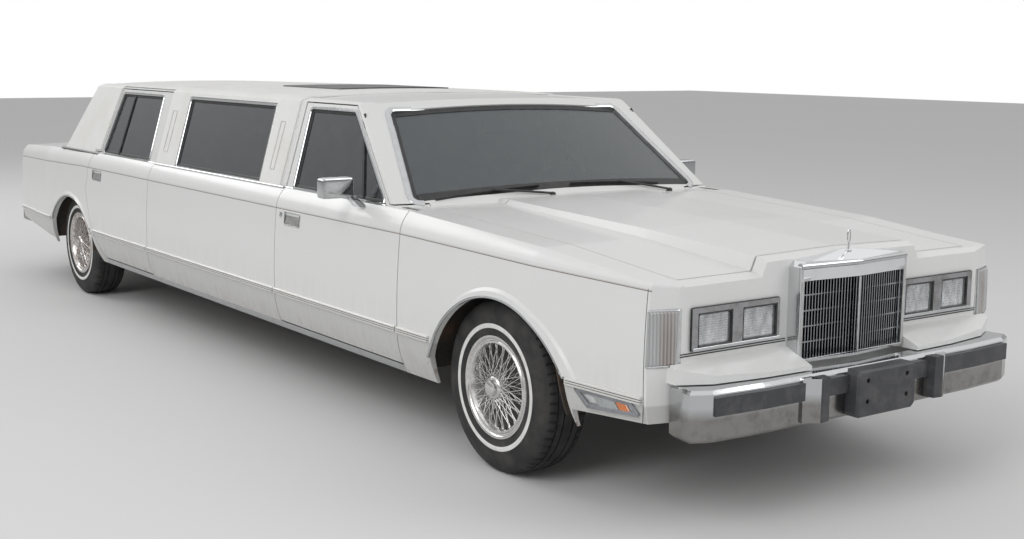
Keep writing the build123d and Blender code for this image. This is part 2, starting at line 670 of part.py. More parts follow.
with BuildPart() as rear_bumper:
    add(bumper_bar(REAR_BUMPER_OUTER, REAR_BUMPER_INNER))
    for side in (1, -1):
        arm_y = sorted((side * RAIL_Y[0], side * RAIL_Y[1]))
        add(block((-3620, TAIL_X), arm_y, (440, 500)))
save("rear_bumper", rear_bumper.part)

with BuildPart() as rub_strips:
    add(front_rub_strip.part)
    add(rub_strip(REAR_STRIP_OUTER, REAR_BUMPER_OUTER[2:]))
save("rub_strips", rub_strips.part)

# Roof, its padded cover and the fixed glass
screen_opening = bow_opening(SCREEN_FOOT, SCREEN_HEAD, SCREEN_OPENING)
back_opening = bow_opening(BACK_FOOT, BACK_HEAD, BACK_OPENING)
stretch_space = block((REAR_DOOR_FRONT_X, FRONT_DOOR_REAR_X), (-1000, 1000), (900, FRAME_TOP))
with BuildPart() as roof_panel:
    add(glass_shell.part)
    for opening in (FRONT_OPENING, REAR_OPENING):
        add(side_prism(opening, -1000, GAP - DOOR_INNER_Y), mode=Mode.SUBTRACT)
        add(side_prism(opening, DOOR_INNER_Y - GAP, 1000), mode=Mode.SUBTRACT)
    add(stretch_space, mode=Mode.SUBTRACT)
    add(screen_opening, mode=Mode.SUBTRACT)
    add(back_opening, mode=Mode.SUBTRACT)
save("roof_panel", roof_panel.part)

with BuildPart() as windshield:
    add(bow_cylinder(SCREEN_FOOT, SCREEN_HEAD, SCREEN_BOW, GLASS_SINK))
    add(bow_cylinder(SCREEN_FOOT, SCREEN_HEAD, SCREEN_BOW, GLASS_SINK + GLASS), mode=Mode.SUBTRACT)
    add(screen_opening, mode=Mode.INTERSECT)
save("windshield", windshield.part)

with BuildPart() as rear_glass:
    add(bow_cylinder(BACK_FOOT, BACK_HEAD, BACK_BOW, GLASS_SINK))
    add(bow_cylinder(BACK_FOOT, BACK_HEAD, BACK_BOW, GLASS_SINK + GLASS), mode=Mode.SUBTRACT)
    add(back_opening, mode=Mode.INTERSECT)
save("rear_glass", rear_glass.part)

vinyl_loft = roof_loft(-VINYL, -VINYL, 940)
VINYL_EDGE = 12
with BuildPart() as vinyl_roof:
    add(vinyl_loft)
    add(bow_cylinder(BACK_FOOT, BACK_HEAD, BACK_BOW, -VINYL), mode=Mode.INTERSECT)
    add(block((-2700, VINYL_FRONT_X), (-1000, 1000), (900, 1500)), mode=Mode.INTERSECT)
    add(glasshouse.part, mode=Mode.SUBTRACT)
    add(body_outer, mode=Mode.SUBTRACT)
    for outline in (FRONT_OPENING, REAR_OPENING):
        add(side_prism(outline, -1000, 1000, -VINYL_EDGE), mode=Mode.SUBTRACT)
    add(side_prism(MIDDLE_WINDOW, -1000, 1000, -VINYL_EDGE), mode=Mode.SUBTRACT)
    add(bow_opening(BACK_FOOT, BACK_HEAD, BACK_OPENING, -VINYL_EDGE), mode=Mode.SUBTRACT)
save("vinyl_roof", vinyl_roof.part)

with BuildPart() as sunroof:
    add(roof_loft(-VINYL - SUNROOF, -VINYL - SUNROOF, 940))
    add(vinyl_loft, mode=Mode.SUBTRACT)
    add(block((-330, 330), (-340, 340), (1300, 1500)), mode=Mode.INTERSECT)
save("sunroof", sunroof.part)

# Cowl, floor and frame
COWL_X = (1765, HOOD_REAR_X - GAP)
COWL_LOW_Z = 880
COWL_HALF = 834
with BuildPart() as cowl_panel:
    add(block(COWL_X, (-COWL_HALF, COWL_HALF), (COWL_LOW_Z, 1010)))
    for side in (1, -1):
        add(block((COWL_X[1], FRONT_DOOR_FRONT_X), sorted((side * (HOOD_HALF + GAP), side * COWL_HALF)),
                  (COWL_LOW_Z, 1010)))
    add(body_outer, mode=Mode.INTERSECT)
save("cowl_panel", cowl_panel.part)

FLOOR_HALF = 870
CABIN_HALF = 848
WHEEL_WELL_Y = 634
WELL_RADIUS = 400
WELL_SHEET = 6
rear_rise_x = -1850
well_reach = WELL_RADIUS + WELL_SHEET + 2
floor_line = [(1880, COWL_LOW_Z), (1880, 490), (1740, FLOOR_Z), (rear_rise_x, FLOOR_Z),
              (rear_rise_x, REAR_FLOOR_Z), (TAIL_X + TAIL_PLATE, REAR_FLOOR_Z),
              (TAIL_X + TAIL_PLATE, REAR_FLOOR_Z + FLOOR_SHEET),
              (rear_rise_x + FLOOR_SHEET, REAR_FLOOR_Z + FLOOR_SHEET),
              (rear_rise_x + FLOOR_SHEET, FLOOR_Z + FLOOR_SHEET), (1732, FLOOR_Z + FLOOR_SHEET),
              (1864, 495), (1864, COWL_LOW_Z)]
BULKHEAD_X = (-2074, -2060)
with BuildPart() as seat_bulkhead:
    add(block(BULKHEAD_X, (-628, 628), (REAR_FLOOR_Z, 1000)))
    add(body_hollow_rear, mode=Mode.INTERSECT)

with BuildPart() as floor_pan:
    add(side_prism(floor_line, -FLOOR_HALF, FLOOR_HALF))
    for side in (1, -1):
        beyond_cabin = sorted((side * CABIN_HALF, side * 1000))
        beyond_well = sorted((side * WHEEL_WELL_Y, side * 1000))
        add(block((rear_rise_x - 1, 2000), beyond_cabin, (FLOOR_Z + FLOOR_SHEET, 1000)), mode=Mode.SUBTRACT)
        add(block((REAR_AXLE_X - well_reach, REAR_AXLE_X + well_reach + 1), beyond_well, (200, 1000)),
            mode=Mode.SUBTRACT)
    add(rocker_panels.part, mode=Mode.SUBTRACT)
    add(seat_bulkhead.part)
save("floor_pan", floor_pan.part)


AXLE_SLOT = 70


def wheel_well(x, radius, y_inner, y_outer, wall_low_z):
    """Half a drum over a wheel on the right side, with a wall on its inner end."""
    with BuildPart(mode=Mode.PRIVATE) as solid:
        add(cross_rod(x, TYRE_RADIUS, radius + WELL_SHEET, -y_outer, -y_inner))
        add(cross_rod(x, TYRE_RADIUS, radius, -y_outer - 1, -y_inner - WELL_SHEET), mode=Mode.SUBTRACT)
        add(block((x - 600, x + 600), (-1000, 0), (0, TYRE_RADIUS)), mode=Mode.SUBTRACT)
        add(block((x - radius, x + radius), (-y_inner - WELL_SHEET, -y_inner), (0, wall_low_z)),
            mode=Mode.SUBTRACT)
    return solid.part


with BuildPart() as wheel_wells:
    add(wheel_well(REAR_AXLE_X, WELL_RADIUS, WHEEL_WELL_Y, 940, TYRE_RADIUS))
    add(wheel_well(2580, 440, 494, 940, 590))
    add(body_outer, mode=Mode.INTERSECT)
    add(front_fenders.part, mode=Mode.SUBTRACT)
    add(quarter_panels.part, mode=Mode.SUBTRACT)
    add(block((REAR_AXLE_X - AXLE_SLOT, REAR_AXLE_X + AXLE_SLOT), (-WHEEL_WELL_Y - 20, 0),
              (0, TYRE_RADIUS + AXLE_SLOT)), mode=Mode.SUBTRACT)
    mirror(about=Plane.XZ)
save("wheel_wells", wheel_wells.part)

rail_line = [(RAIL_FRONT_X, 395), (2100, 395), (1800, FLOOR_Z), (rear_rise_x - 10, FLOOR_Z), (-2050, REAR_FLOOR_Z),
             (TAIL_X + TAIL_PLATE, REAR_FLOOR_Z), (TAIL_X + TAIL_PLATE, 450), (-2070, 450), (-1880, 215),
             (1830, 215), (2110, 300), (RAIL_FRONT_X, 300)]
with BuildPart() as chassis_frame:
    add(side_prism(rail_line, -RAIL_Y[1], -RAIL_Y[0]))
    mirror(about=Plane.XZ)
    for cross_x in (1560, 300, -900, -1750):
        add(block((cross_x, cross_x + 80), (-RAIL_Y[0], RAIL_Y[0]), (268, FLOOR_Z)))
    add(block((-3380, -3320), (-RAIL_Y[0], RAIL_Y[0]), (480, REAR_FLOOR_Z)))
save("chassis_frame", chassis_frame.part)

# Front suspension, engine, rear axle, exhaust and tank
KNUCKLE_Z = (226, 456)
ARM_HALF = 30
with BuildPart() as front_crossmember:
    add(block((2480, 2612), (-RAIL_Y[1], RAIL_Y[1]), (205, 300)))
    for side in (1, -1):
        arm_y = sorted((side * RAIL_Y[1], side * (KINGPIN_Y + 12)))
        add(block((FRONT_AXLE_X - ARM_HALF, FRONT_AXLE_X + ARM_HALF), arm_y,
                  (205, KNUCKLE_Z[0] - RUN_FIT)))
        tower_y = sorted((side * (RAIL_Y[1] - 45), side * RAIL_Y[1]))
        add(block((FRONT_AXLE_X - 45, FRONT_AXLE_X + 45), tower_y, (395, 474)))
        add(block((FRONT_AXLE_X - ARM_HALF, FRONT_AXLE_X + ARM_HALF), arm_y,
                  (KNUCKLE_Z[1] + RUN_FIT, 474)))
save("front_crossmember", front_crossmember.part)

with BuildPart() as engine_block:
    add(block((2160, 2900), (-300, 300), (300, 840)))
    add(block((1920, 2160), (-150, 150), (240, 470)))
    add(block((1650, 1920), (-100, 100), (225, 300)))
    add(chassis_frame.part, mode=Mode.SUBTRACT)
save("engine_block", engine_block.part)

DIFF_RADIUS = 130
AXLE_RADIUS = 40
with BuildPart() as rear_axle:
    add(cross_rod(REAR_AXLE_X, TYRE_RADIUS, AXLE_RADIUS, -700, 700))
    add(cross_rod(REAR_AXLE_X, TYRE_RADIUS, DIFF_RADIUS, -100, 100))
    add(cross_rod(REAR_AXLE_X, TYRE_RADIUS, SPINDLE_RADIUS, -800, 800))
    for side in (1, -1):
        with BuildSketch(Plane.XY.offset(TYRE_RADIUS)):
            with Locations((REAR_AXLE_X, side * 435)):
                Circle(34)
        extrude(amount=450 - TYRE_RADIUS)
    with BuildSketch(Plane.YZ.offset(REAR_AXLE_X + 90)):
        with Locations((0, 252)):
            Circle(30)
    extrude(amount=1650 - REAR_AXLE_X - 90)
    add(chassis_frame.part, mode=Mode.SUBTRACT)
    add(engine_block.part, mode=Mode.SUBTRACT)
save("rear_axle", rear_axle.part)

EXHAUST_Y = -230
with BuildPart() as exhaust:
    with BuildSketch(Plane.YZ.offset(-3560)):
        with Locations((EXHAUST_Y, 232)):
            Circle(25)
    extrude(amount=2240 + 3560)
    add(block((2200, 2240), (EXHAUST_Y - 20, EXHAUST_Y + 20), (232, 300)))
    add(block((-3250, -2800), (EXHAUST_Y - 90, EXHAUST_Y + 90), (190, 300)))
    for hanger_x in (900, -1300):
        add(block((hanger_x, hanger_x + 12), (EXHAUST_Y - 15, EXHAUST_Y + 15), (240, FLOOR_Z)))
save("exhaust", exhaust.part)

with BuildPart() as fuel_tank:
    add(block((-3260, -2760), (-380, 380), (395, REAR_FLOOR_Z)))
    chamfer(fuel_tank.edges().group_by(Axis.Z)[0], 30)
save("fuel_tank", fuel_tank.part)

# Inside: dashboard, steering wheel, seats and partition
dash_line = [(COWL_X[0], COWL_LOW_Z + 60), (COWL_X[0], 560), (1650, 560), (1560, 640), (1490, 720),
             (1470, 830), (1520, 890), (1640, 935)]
WHEEL_CENTRE = (1270, 380, 905)
WHEEL_RING = 190
driver_y = WHEEL_CENTRE[1]
column_way = Plane(origin=WHEEL_CENTRE, x_dir=(0, 1, 0), z_dir=(0.93, 0, -0.37))
with BuildPart() as dashboard:
    add(side_prism(dash_line, -815, 815))
    with BuildSketch(column_way.offset(24)):
        Circle(32)
    extrude(amount=300)
save("dashboard", dashboard.part)

with BuildPart() as steering_wheel:
    with BuildSketch(column_way.offset(-24)):
        Circle(46)
    extrude(amount=48)
    with BuildSketch(column_way.offset(-7)):
        Rectangle(34, 2 * WHEEL_RING)
    extrude(amount=14)
    with BuildSketch(Plane(origin=WHEEL_CENTRE, x_dir=(0, 1, 0), z_dir=(0.37, 0, 0.93))):
        with Locations((WHEEL_RING, 0)):
            RegularPolygon(14, 6)
    revolve(axis=Axis(WHEEL_CENTRE, (0.93, 0, -0.37)))
save("steering_wheel", steering_wheel.part)

seat_foot_z = FLOOR_Z + FLOOR_SHEET
front_seat_line = [(1330, seat_foot_z), (1330, 540), (1280, 585), (900, 560), (770, 1060), (670, 1050),
                   (760, 520), (790, seat_foot_z)]
with BuildPart() as front_seats:
    for seat_y in ((-650, -90), (90, 650)):
        add(side_prism(front_seat_line, *seat_y))
        head_y = (seat_y[0] + 160, seat_y[1] - 160)
        add(side_prism([(765, 1050), (745, 1200), (665, 1195), (680, 1045)], *head_y))
save("front_seats", front_seats.part)

with BuildPart() as partition:
    with BuildSketch(Plane.YZ.offset(600)):
        with BuildLine():
            Polyline((-835, seat_foot_z), (835, seat_foot_z), (835, 950), (720, 1335), (-720, 1335), (-835, 950),
                     close=True)
        make_face()
    extrude(amount=22)
save("partition", partition.part)

rear_seat_line = [(-1320, seat_foot_z), (-1320, 590), (-1380, 630), (-1790, 600), (-1890, 1050), (-1990, 1045),
                  (-1985, REAR_FLOOR_Z + FLOOR_SHEET), (rear_rise_x + FLOOR_SHEET, REAR_FLOOR_Z + FLOOR_SHEET),
                  (rear_rise_x + FLOOR_SHEET, seat_foot_z)]
jump_seat_line = [(600, seat_foot_z), (600, 900), (500, 890), (440, 600), (80, 620), (40, 570), (40, seat_foot_z)]
with BuildPart() as rear_seats:
    add(side_prism(rear_seat_line, -790, 790))
    for side in (1, -1):
        add(block((-2100, REAR_AXLE_X + well_reach + 2), sorted((side * 630, side * 1000)), (200, 752)),
            mode=Mode.SUBTRACT)
    add(side_prism(jump_seat_line, -780, 780))
save("rear_seats", rear_seats.part)

# Seals: sheets just inside the walls, cut to a band along each door's edge
with BuildPart() as seal_band:
    for opening in (FRONT_OPENING, REAR_OPENING):
        add(side_prism(opening, -1000, -600, -SEAL_LAP))
        add(side_prism(opening, -1001, -599, GAP + SEAL_LAP), mode=Mode.SUBTRACT)

with BuildPart() as upper_seals:
    add(roof_loft(FRAME_WALL + SEAL_FIT, ROOF_WALL + SEAL_FIT, 900))
    add(roof_loft(FRAME_WALL + SEAL, ROOF_WALL + SEAL, 900), mode=Mode.SUBTRACT)
    add(seal_band.part & block((-3000, 3000), (-1000, 0), (BELT_Z - SEAL, 1500)), mode=Mode.INTERSECT)
    add(bow_cylinder(SCREEN_FOOT, SCREEN_HEAD, SCREEN_BOW, FRAME_WALL + 25), mode=Mode.INTERSECT)

with BuildPart() as door_seals:
    add(body_loft(BODY_SECTIONS[1:5], DOOR_WALL + SEAL_FIT, 0, SILL_Z - 40, 1010))
    add(body_loft(BODY_SECTIONS[1:5], DOOR_WALL + SEAL, 0, SILL_Z - 40, 1010), mode=Mode.SUBTRACT)
    add(seal_band.part & block((cabin_rear_x, cabin_front_x), (-1000, 0), (0, BELT_Z - 1)), mode=Mode.INTERSECT)
    add(upper_seals.part)
    add(floor_pan.part, mode=Mode.SUBTRACT)
    add(cowl_panel.part, mode=Mode.SUBTRACT)
    mirror(about=Plane.XZ)
save("door_seals", door_seals.part)

# Door mirrors
with BuildPart() as mirror_right:
    with Locations((1508, -1010, 1030)):
        Box(55, 160, 90)
    fillet(mirror_right.edges().filter_by(Axis.X), 20)
    add(side_prism([(1478, 992), (1530, 992), (1604, 962), (1560, 948)], -965, -915))
    add(body_outer, mode=Mode.SUBTRACT)
    add(glasshouse.part, mode=Mode.SUBTRACT)
save("mirror_right", mirror_right.part)
save("mirror_left", mirror(mirror_right.part, about=Plane.XZ))

# Wheels, tyres and steering knuckles, made once at the origin with the outer side to +Y
HUB_RADIUS = 62
DISC_Y = 18
TYRE_SIDES = 44
SPOKES = 20
SPOKE = 5

half_tyre = TYRE_WIDTH / 2
half_rim = RIM_WIDTH / 2
# Half of the tyre's section: y, radius
TYRE_SECTION = [(half_rim, RIM_RADIUS + 6), (half_tyre, 264), (half_tyre - 18, 326), (half_tyre - 42, TYRE_RADIUS)]
with BuildPart() as tyre:
    for y, radius in TYRE_SECTION + [(-y, radius) for y, radius in reversed(TYRE_SECTION)]:
        with BuildSketch(Plane.XZ.offset(-y)):
            RegularPolygon(radius, TYRE_SIDES, major_radius=False, rotation=180 / TYRE_SIDES)
    loft(ruled=True)
    add(cross_rod(0, 0, RIM_RADIUS, -TYRE_WIDTH, TYRE_WIDTH), mode=Mode.SUBTRACT)

# Section of the wheel and its cover: y, radius
WHEEL_SECTION = [
    (-half_rim, RIM_RADIUS), (-half_rim, RIM_RADIUS - RIM_WALL), (DISC_Y, RIM_RADIUS - RIM_WALL),
    (DISC_Y, HUB_RADIUS), (-25, HUB_RADIUS), (-25, SPINDLE_RADIUS + RUN_FIT), (32, SPINDLE_RADIUS + RUN_FIT), (32, 0),
    (82, 0), (82, 30), (74, 42), (DISC_Y + 10, 52), (DISC_Y + 10, 150), (78, 170), (half_rim + 4, 176),
    (half_rim + 4, 186), (half_rim, RIM_RADIUS),
]
with BuildPart() as wheel:
    with BuildSketch(Plane.YZ):
        with BuildLine():
            Polyline(*WHEEL_SECTION, close=True)
        make_face()
    revolve(axis=Axis.Y)
    for number in range(SPOKES):
        with Locations(Rotation(0, number * 360 / SPOKES, 0)):
            with Locations(Location((42, 66, 0), (0, 24 if number % 2 else -24, -2))):
                Box(134, SPOKE, SPOKE, align=(Align.MIN, Align.CENTER, Align.CENTER))

wheel_places = [
    ("front_right", FRONT_AXLE_X, -1, FRONT_WHEEL_Y), ("front_left", FRONT_AXLE_X, 1, FRONT_WHEEL_Y),
    ("rear_right", REAR_AXLE_X, -1, REAR_WHEEL_Y), ("rear_left", REAR_AXLE_X, 1, REAR_WHEEL_Y),
]
for place, axle_x, side, wheel_y in wheel_places:
    for piece, solid in (("tyre", tyre.part), ("wheel", wheel.part)):
        turned = solid if side > 0 else mirror(solid, about=Plane.XZ)
        save(f"{piece}_{place}", turned.moved(Location((axle_x, side * wheel_y, TYRE_RADIUS))))

for name, side in (("right", -1), ("left", 1)):
    with BuildPart() as knuckle:
        add(block((FRONT_AXLE_X - 24, FRONT_AXLE_X + 24), sorted((side * 680, side * 716)), KNUCKLE_Z))
        add(cross_rod(FRONT_AXLE_X, TYRE_RADIUS, SPINDLE_RADIUS, *sorted((side * 700, side * 815))))
    save(f"knuckle_{name}", knuckle.part)
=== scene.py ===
# %% [markdown]
# A stretched saloon car, dressed for the studio.
# The solid model comes in first and stays where it is. This file adds what a body shop adds at the end:
# bright trim, mouldings, lamps with their lenses, wire wheel covers, tread, seats and every surface finish.
# Lengths are in metres. +X is the front of the car, +Y its left side and +Z is up.

# %% Load the frame
import json
import math

import bmesh
import bpy
import numpy as np
from mathutils import Matrix, Vector


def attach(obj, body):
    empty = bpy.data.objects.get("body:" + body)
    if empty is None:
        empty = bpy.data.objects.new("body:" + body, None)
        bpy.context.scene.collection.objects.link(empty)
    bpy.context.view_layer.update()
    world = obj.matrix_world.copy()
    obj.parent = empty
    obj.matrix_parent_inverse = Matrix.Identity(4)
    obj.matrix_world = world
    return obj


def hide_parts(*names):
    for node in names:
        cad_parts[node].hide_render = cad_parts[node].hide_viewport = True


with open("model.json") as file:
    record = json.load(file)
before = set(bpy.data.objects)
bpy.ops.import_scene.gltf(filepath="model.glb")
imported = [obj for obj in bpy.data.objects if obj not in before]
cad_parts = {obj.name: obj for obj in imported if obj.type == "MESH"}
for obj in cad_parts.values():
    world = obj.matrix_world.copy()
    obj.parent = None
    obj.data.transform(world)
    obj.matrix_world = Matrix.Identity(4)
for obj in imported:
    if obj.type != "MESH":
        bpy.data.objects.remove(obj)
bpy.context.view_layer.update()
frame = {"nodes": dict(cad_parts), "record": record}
scene = bpy.context.scene

# %% [markdown]
# The camera stands at the photograph's place. Its lens and place were worked out from points of the car whose
# sizes are known, such as the wheel centres, the lamps' corners and the ends of the sill.
# A camera looks along its own -Z, so its matrix has right, up and backward as columns.

# %% Camera
IMAGE_WIDTH = 1024
CAMERA_PLACE = Vector((6.747, -3.851, 1.611))
CAMERA_AZIMUTH = math.radians(54.147)
CAMERA_TILT = math.radians(8.964)
CAMERA_ROLL = math.radians(0.523)
FOCAL_PIXELS = 1369.8
SENSOR_WIDTH = 36.0


def aim(azimuth, tilt, roll):
    """A camera's turn: forward from two angles, right as forward x up, then right and up turned by roll."""
    level = math.cos(tilt)
    forward = Vector((-math.sin(azimuth) * level, math.cos(azimuth) * level, -math.sin(tilt)))
    right = forward.cross(Vector((0, 0, 1))).normalized()
    up = right.cross(forward)
    level_right = right * math.cos(roll) + up * math.sin(roll)
    level_up = up * math.cos(roll) - right * math.sin(roll)
    return Matrix((level_right, level_up, -forward)).transposed().to_4x4()


camera = bpy.data.objects.new("camera", bpy.data.cameras.new("camera"))
scene.collection.objects.link(camera)
camera.data.sensor_width = SENSOR_WIDTH
camera.data.lens = FOCAL_PIXELS * SENSOR_WIDTH / IMAGE_WIDTH
camera.data.clip_end = 200
camera.matrix_world = Matrix.Translation(CAMERA_PLACE) @ aim(CAMERA_AZIMUTH, CAMERA_TILT, CAMERA_ROLL)
scene.camera = camera
print("lens", round(camera.data.lens, 2), "mm")

# %% [markdown]
# Materials are written as sums. A Wire holds one socket of a node tree, and adding or multiplying Wires adds
# the Math nodes, so a mask reads like a line of arithmetic. Every other node comes from Wire.node.


# %% Shader arithmetic
class Wire:
    """One output socket of a node tree, with arithmetic."""

    def __init__(self, tree, socket=None):
        self.tree = tree
        self.socket = socket

    def node(self, kind, settings=None, out=0, **values):
        """Add a node: its settings first, then a value or a Wire for each socket named (iN is input N)."""
        made = self.tree.nodes.new(kind)
        for key, value in (settings or {}).items():
            setattr(made, key, value)
        for key, value in values.items():
            numbered = key[0] == "i" and key[1:].isdigit()
            self.plug(made.inputs[int(key[1:])] if numbered else made.inputs[key.replace("_", " ")], value)
        return Wire(self.tree, made.outputs[out])

    def plug(self, socket, value):
        """Link a Wire to a socket, or set the socket's own value."""
        if isinstance(value, Wire):
            self.tree.links.new(value.socket, socket)
        elif hasattr(value, "__len__") and len(value) == 3 and len(socket.default_value) == 4:
            socket.default_value = (*value, 1)
        else:
            socket.default_value = value

    def math(self, operation, first, second=0.0):
        """One Math node."""
        return self.node("ShaderNodeMath", {"operation": operation}, i0=first, i1=second)

    def __add__(self, other):
        return self.math("ADD", self, other)

    def __sub__(self, other):
        return self.math("SUBTRACT", self, other)

    def __rsub__(self, other):
        return self.math("SUBTRACT", other, self)

    def __mul__(self, other):
        return self.math("MULTIPLY", self, other)

    def __pow__(self, other):
        return self.math("POWER", self, other)

    def __gt__(self, other):
        return self.math("GREATER_THAN", self, other)

    def __lt__(self, other):
        return self.math("LESS_THAN", self, other)

    def __abs__(self):
        return self.math("ABSOLUTE", self)

    __radd__ = __add__

    def ramp(self, low, high):
        """0 below low, 1 above high, and a straight rise between."""
        return self.node("ShaderNodeMapRange", {"clamp": True}, Value=self, From_Min=low, From_Max=high)

    def mix(self, first, second):
        """The colour first where this Wire is 0, and second where it is 1."""
        return self.node("ShaderNodeMix", {"data_type": "RGBA"}, out=2, i0=self, i6=first, i7=second)


# The record's material slot of each finish, by the finish's name
SLOTS = {}


def finish(name, slot, colour, roughness, height=None, bump=0.3, depth=0.001, **inputs):
    """A new principled material for a slot. A value may be a function that gives a Wire from the place."""
    material = bpy.data.materials.new(name)
    material.use_nodes = True
    shader = material.node_tree.nodes["Principled BSDF"]
    tree = Wire(material.node_tree)
    place = tree.node("ShaderNodeTexCoord", out=3)
    for key, value in {"Base_Color": colour, "Roughness": roughness, **inputs}.items():
        tree.plug(shader.inputs[key.replace("_", " ")], value(place) if callable(value) else value)
    if height:
        normal = tree.node("ShaderNodeBump", Strength=bump, Distance=depth, Height=height(place))
        tree.plug(shader.inputs["Normal"], normal)
    SLOTS[name] = slot
    return material


def noise(place, scale, detail=3.0, rough=0.5, stretch=(1, 1, 1)):
    """Cloudy noise of the given scale, in parts per metre, drawn out along an axis by stretch."""
    spread = place.node("ShaderNodeMapping", i0=place, Scale=stretch)
    return place.node("ShaderNodeTexNoise", Vector=spread, Scale=scale, Detail=detail, Roughness=rough)


def bands(place, direction, scale, distortion=0.0):
    """Even waves from 0 to 1 along one axis."""
    return place.node("ShaderNodeTexWave", {"bands_direction": direction}, out=1, i0=place, Scale=scale,
                      Distortion=distortion)


def axis(place, number):
    """One coordinate of the place: 0 for x, 1 for y and 2 for z."""
    return place.node("ShaderNodeSeparateXYZ", out=number, i0=place)


print("shader helpers ready")

# %% [markdown]
# Most surfaces are a clean colour under a thin uneven film of dirt, which also dulls them, with a fine grain.
# Each helper gives a function of the place, ready for one socket of a finish.


# %% Films and grains
def film(place):
    """A thin uneven film over a smooth surface."""
    return noise(place, 18, 5, 0.65).ramp(0.45, 0.75)


def filmed(clean, dirty, share=1.0):
    """A colour: clean, and dirty by the share where the film lies."""
    return lambda place: (film(place) * share).mix(clean, dirty)


def mottled(first, second, scale, detail):
    """A colour that wanders between two with plain noise."""
    return lambda place: noise(place, scale, detail).mix(first, second)


def dulled(base, more):
    """A roughness: the base, and more where the film lies."""
    return lambda place: film(place) * more + base


def grain(scale, detail=3):
    """A height of plain noise."""
    return lambda place: noise(place, scale, detail)


def pits(place):
    """A height that is flat apart from scattered pits."""
    return noise(place, 300, 3).ramp(0.6, 0.8)


def vinyl_grain(place):
    """Leather-like cells: the distance to the nearest cell edge, softened by noise."""
    cells = place.node("ShaderNodeTexVoronoi", {"feature": "DISTANCE_TO_EDGE"}, Vector=place, Scale=420.0)
    return cells.ramp(0.0, 0.35) + noise(place, 60, 3) * 0.3


print("films and grains ready")

# %% [markdown]
# The paint is an old off-white that has gone slightly chalky. Road dirt gathers low on the sides in upright
# streaks, dust lies in a faint cloud everywhere, and rust starts in spots along the sill and the valance.

# %% Paint and padded roof
PAINT = (0.745, 0.75, 0.745)
DUST = (0.69, 0.68, 0.65)
# Grey of the lower body below the moulding, which turns under: painted shade
LOWER_BODY_SHADE = (0.50, 0.50, 0.49)
GRIME = (0.42, 0.38, 0.32)
RUST = (0.20, 0.075, 0.03)
STRIPE = (0.20, 0.17, 0.15)
# Heights between which each of them fades out
DIRT_Z = (0.27, 0.62)
RUST_Z = (0.30, 0.40)
LOWER_BODY_SHADE_Z = (0.455, 0.463)
CREASE_Z = 0.885


def low_dirt(place):
    """More dirt low down: a ramp over height, broken up by streaks that are long in z and short in x."""
    streaks = noise(place, 9, 5, 0.65, (3, 3, 0.25))
    return (1 - axis(place, 2).ramp(*DIRT_Z)) * streaks.ramp(0.42, 0.72)


def rust_spots(place):
    """Small spots that are only near the bottom edge of the panels."""
    return (1 - axis(place, 2).ramp(*RUST_Z)) * noise(place, 22, 6, 0.7).ramp(0.60, 0.66)


def pinstripe(place):
    """A fine dark line with a grey one over it, under the sides' crease, which falls towards both ends."""
    x = axis(place, 0)
    crease = CREASE_Z - x.ramp(1.941, 3.47) * 0.027 - (1 - x.ramp(-3.455, -1.99)) * 0.031
    below = crease - axis(place, 2)
    lines = (abs(below - 0.013) < 0.0016) + (abs(below - 0.0095) < 0.0022) * 0.3
    return lines * (abs(axis(place, 1)) > 0.84) * (x < 3.437)


def paint_colour(place):
    """Off-white, a little dust, painted shade on the lower body, low streaks of dirt, then rust and the
    stripe.
    """
    dusty = (noise(place, 3, 4) * 0.3).mix(PAINT, DUST)
    # Below the moulding the lower body is painted grey: painted shade
    lower = ((1 - axis(place, 2).ramp(*LOWER_BODY_SHADE_Z)) * 0.8).mix(dusty, LOWER_BODY_SHADE)
    dirty = (low_dirt(place) * 0.38).mix(lower, GRIME)
    return pinstripe(place).mix(rust_spots(place).mix(dirty, RUST), STRIPE)


paint = finish("old_white_paint", "body_paint", paint_colour,
               lambda p: noise(p, 5, 4) * 0.2 + low_dirt(p) * 0.3 + 0.24, grain(260, 2), 0.04,
               Coat_Weight=0.35, Coat_Roughness=0.12)
vinyl = finish("padded_vinyl", "vinyl_cover",
               lambda p: noise(p, 4, 5, 0.6).ramp(0.45, 0.9).mix((0.80, 0.80, 0.785), (0.70, 0.685, 0.64)),
               lambda p: noise(p, 14, 4) * 0.25 + 0.45, vinyl_grain, 0.35, 0.0006)
print(paint.name, vinyl.name)

# %% [markdown]
# Chrome reflects the room, so most of its look is the room's. Pits and a thin film of dirt keep it from
# looking new. Tinted glass is a dark, partly see-through surface with a hard gloss.

# %% Bright metal, glass and lenses
DULL_AND_REFLECTION_Z = (0.435, 0.475)


def low_dulling_and_reflection(place):
    """Chrome that is rougher low down, and painted darker and a little brown there as a painted reflection of
    dark ground: a ramp over height, a little uneven.
    """
    return (1 - axis(place, 2).ramp(*DULL_AND_REFLECTION_Z)) * (0.75 + film(place) * 0.25)


def rust_dust(place):
    """Brown dust from the brakes, heavier in the rear wheels."""
    rearward = 1 - axis(place, 0).ramp(-1.0, 1.0)
    return noise(place, 40, 5, 0.7).ramp(0.40, 0.75) * (rearward * 0.6 + 0.25)


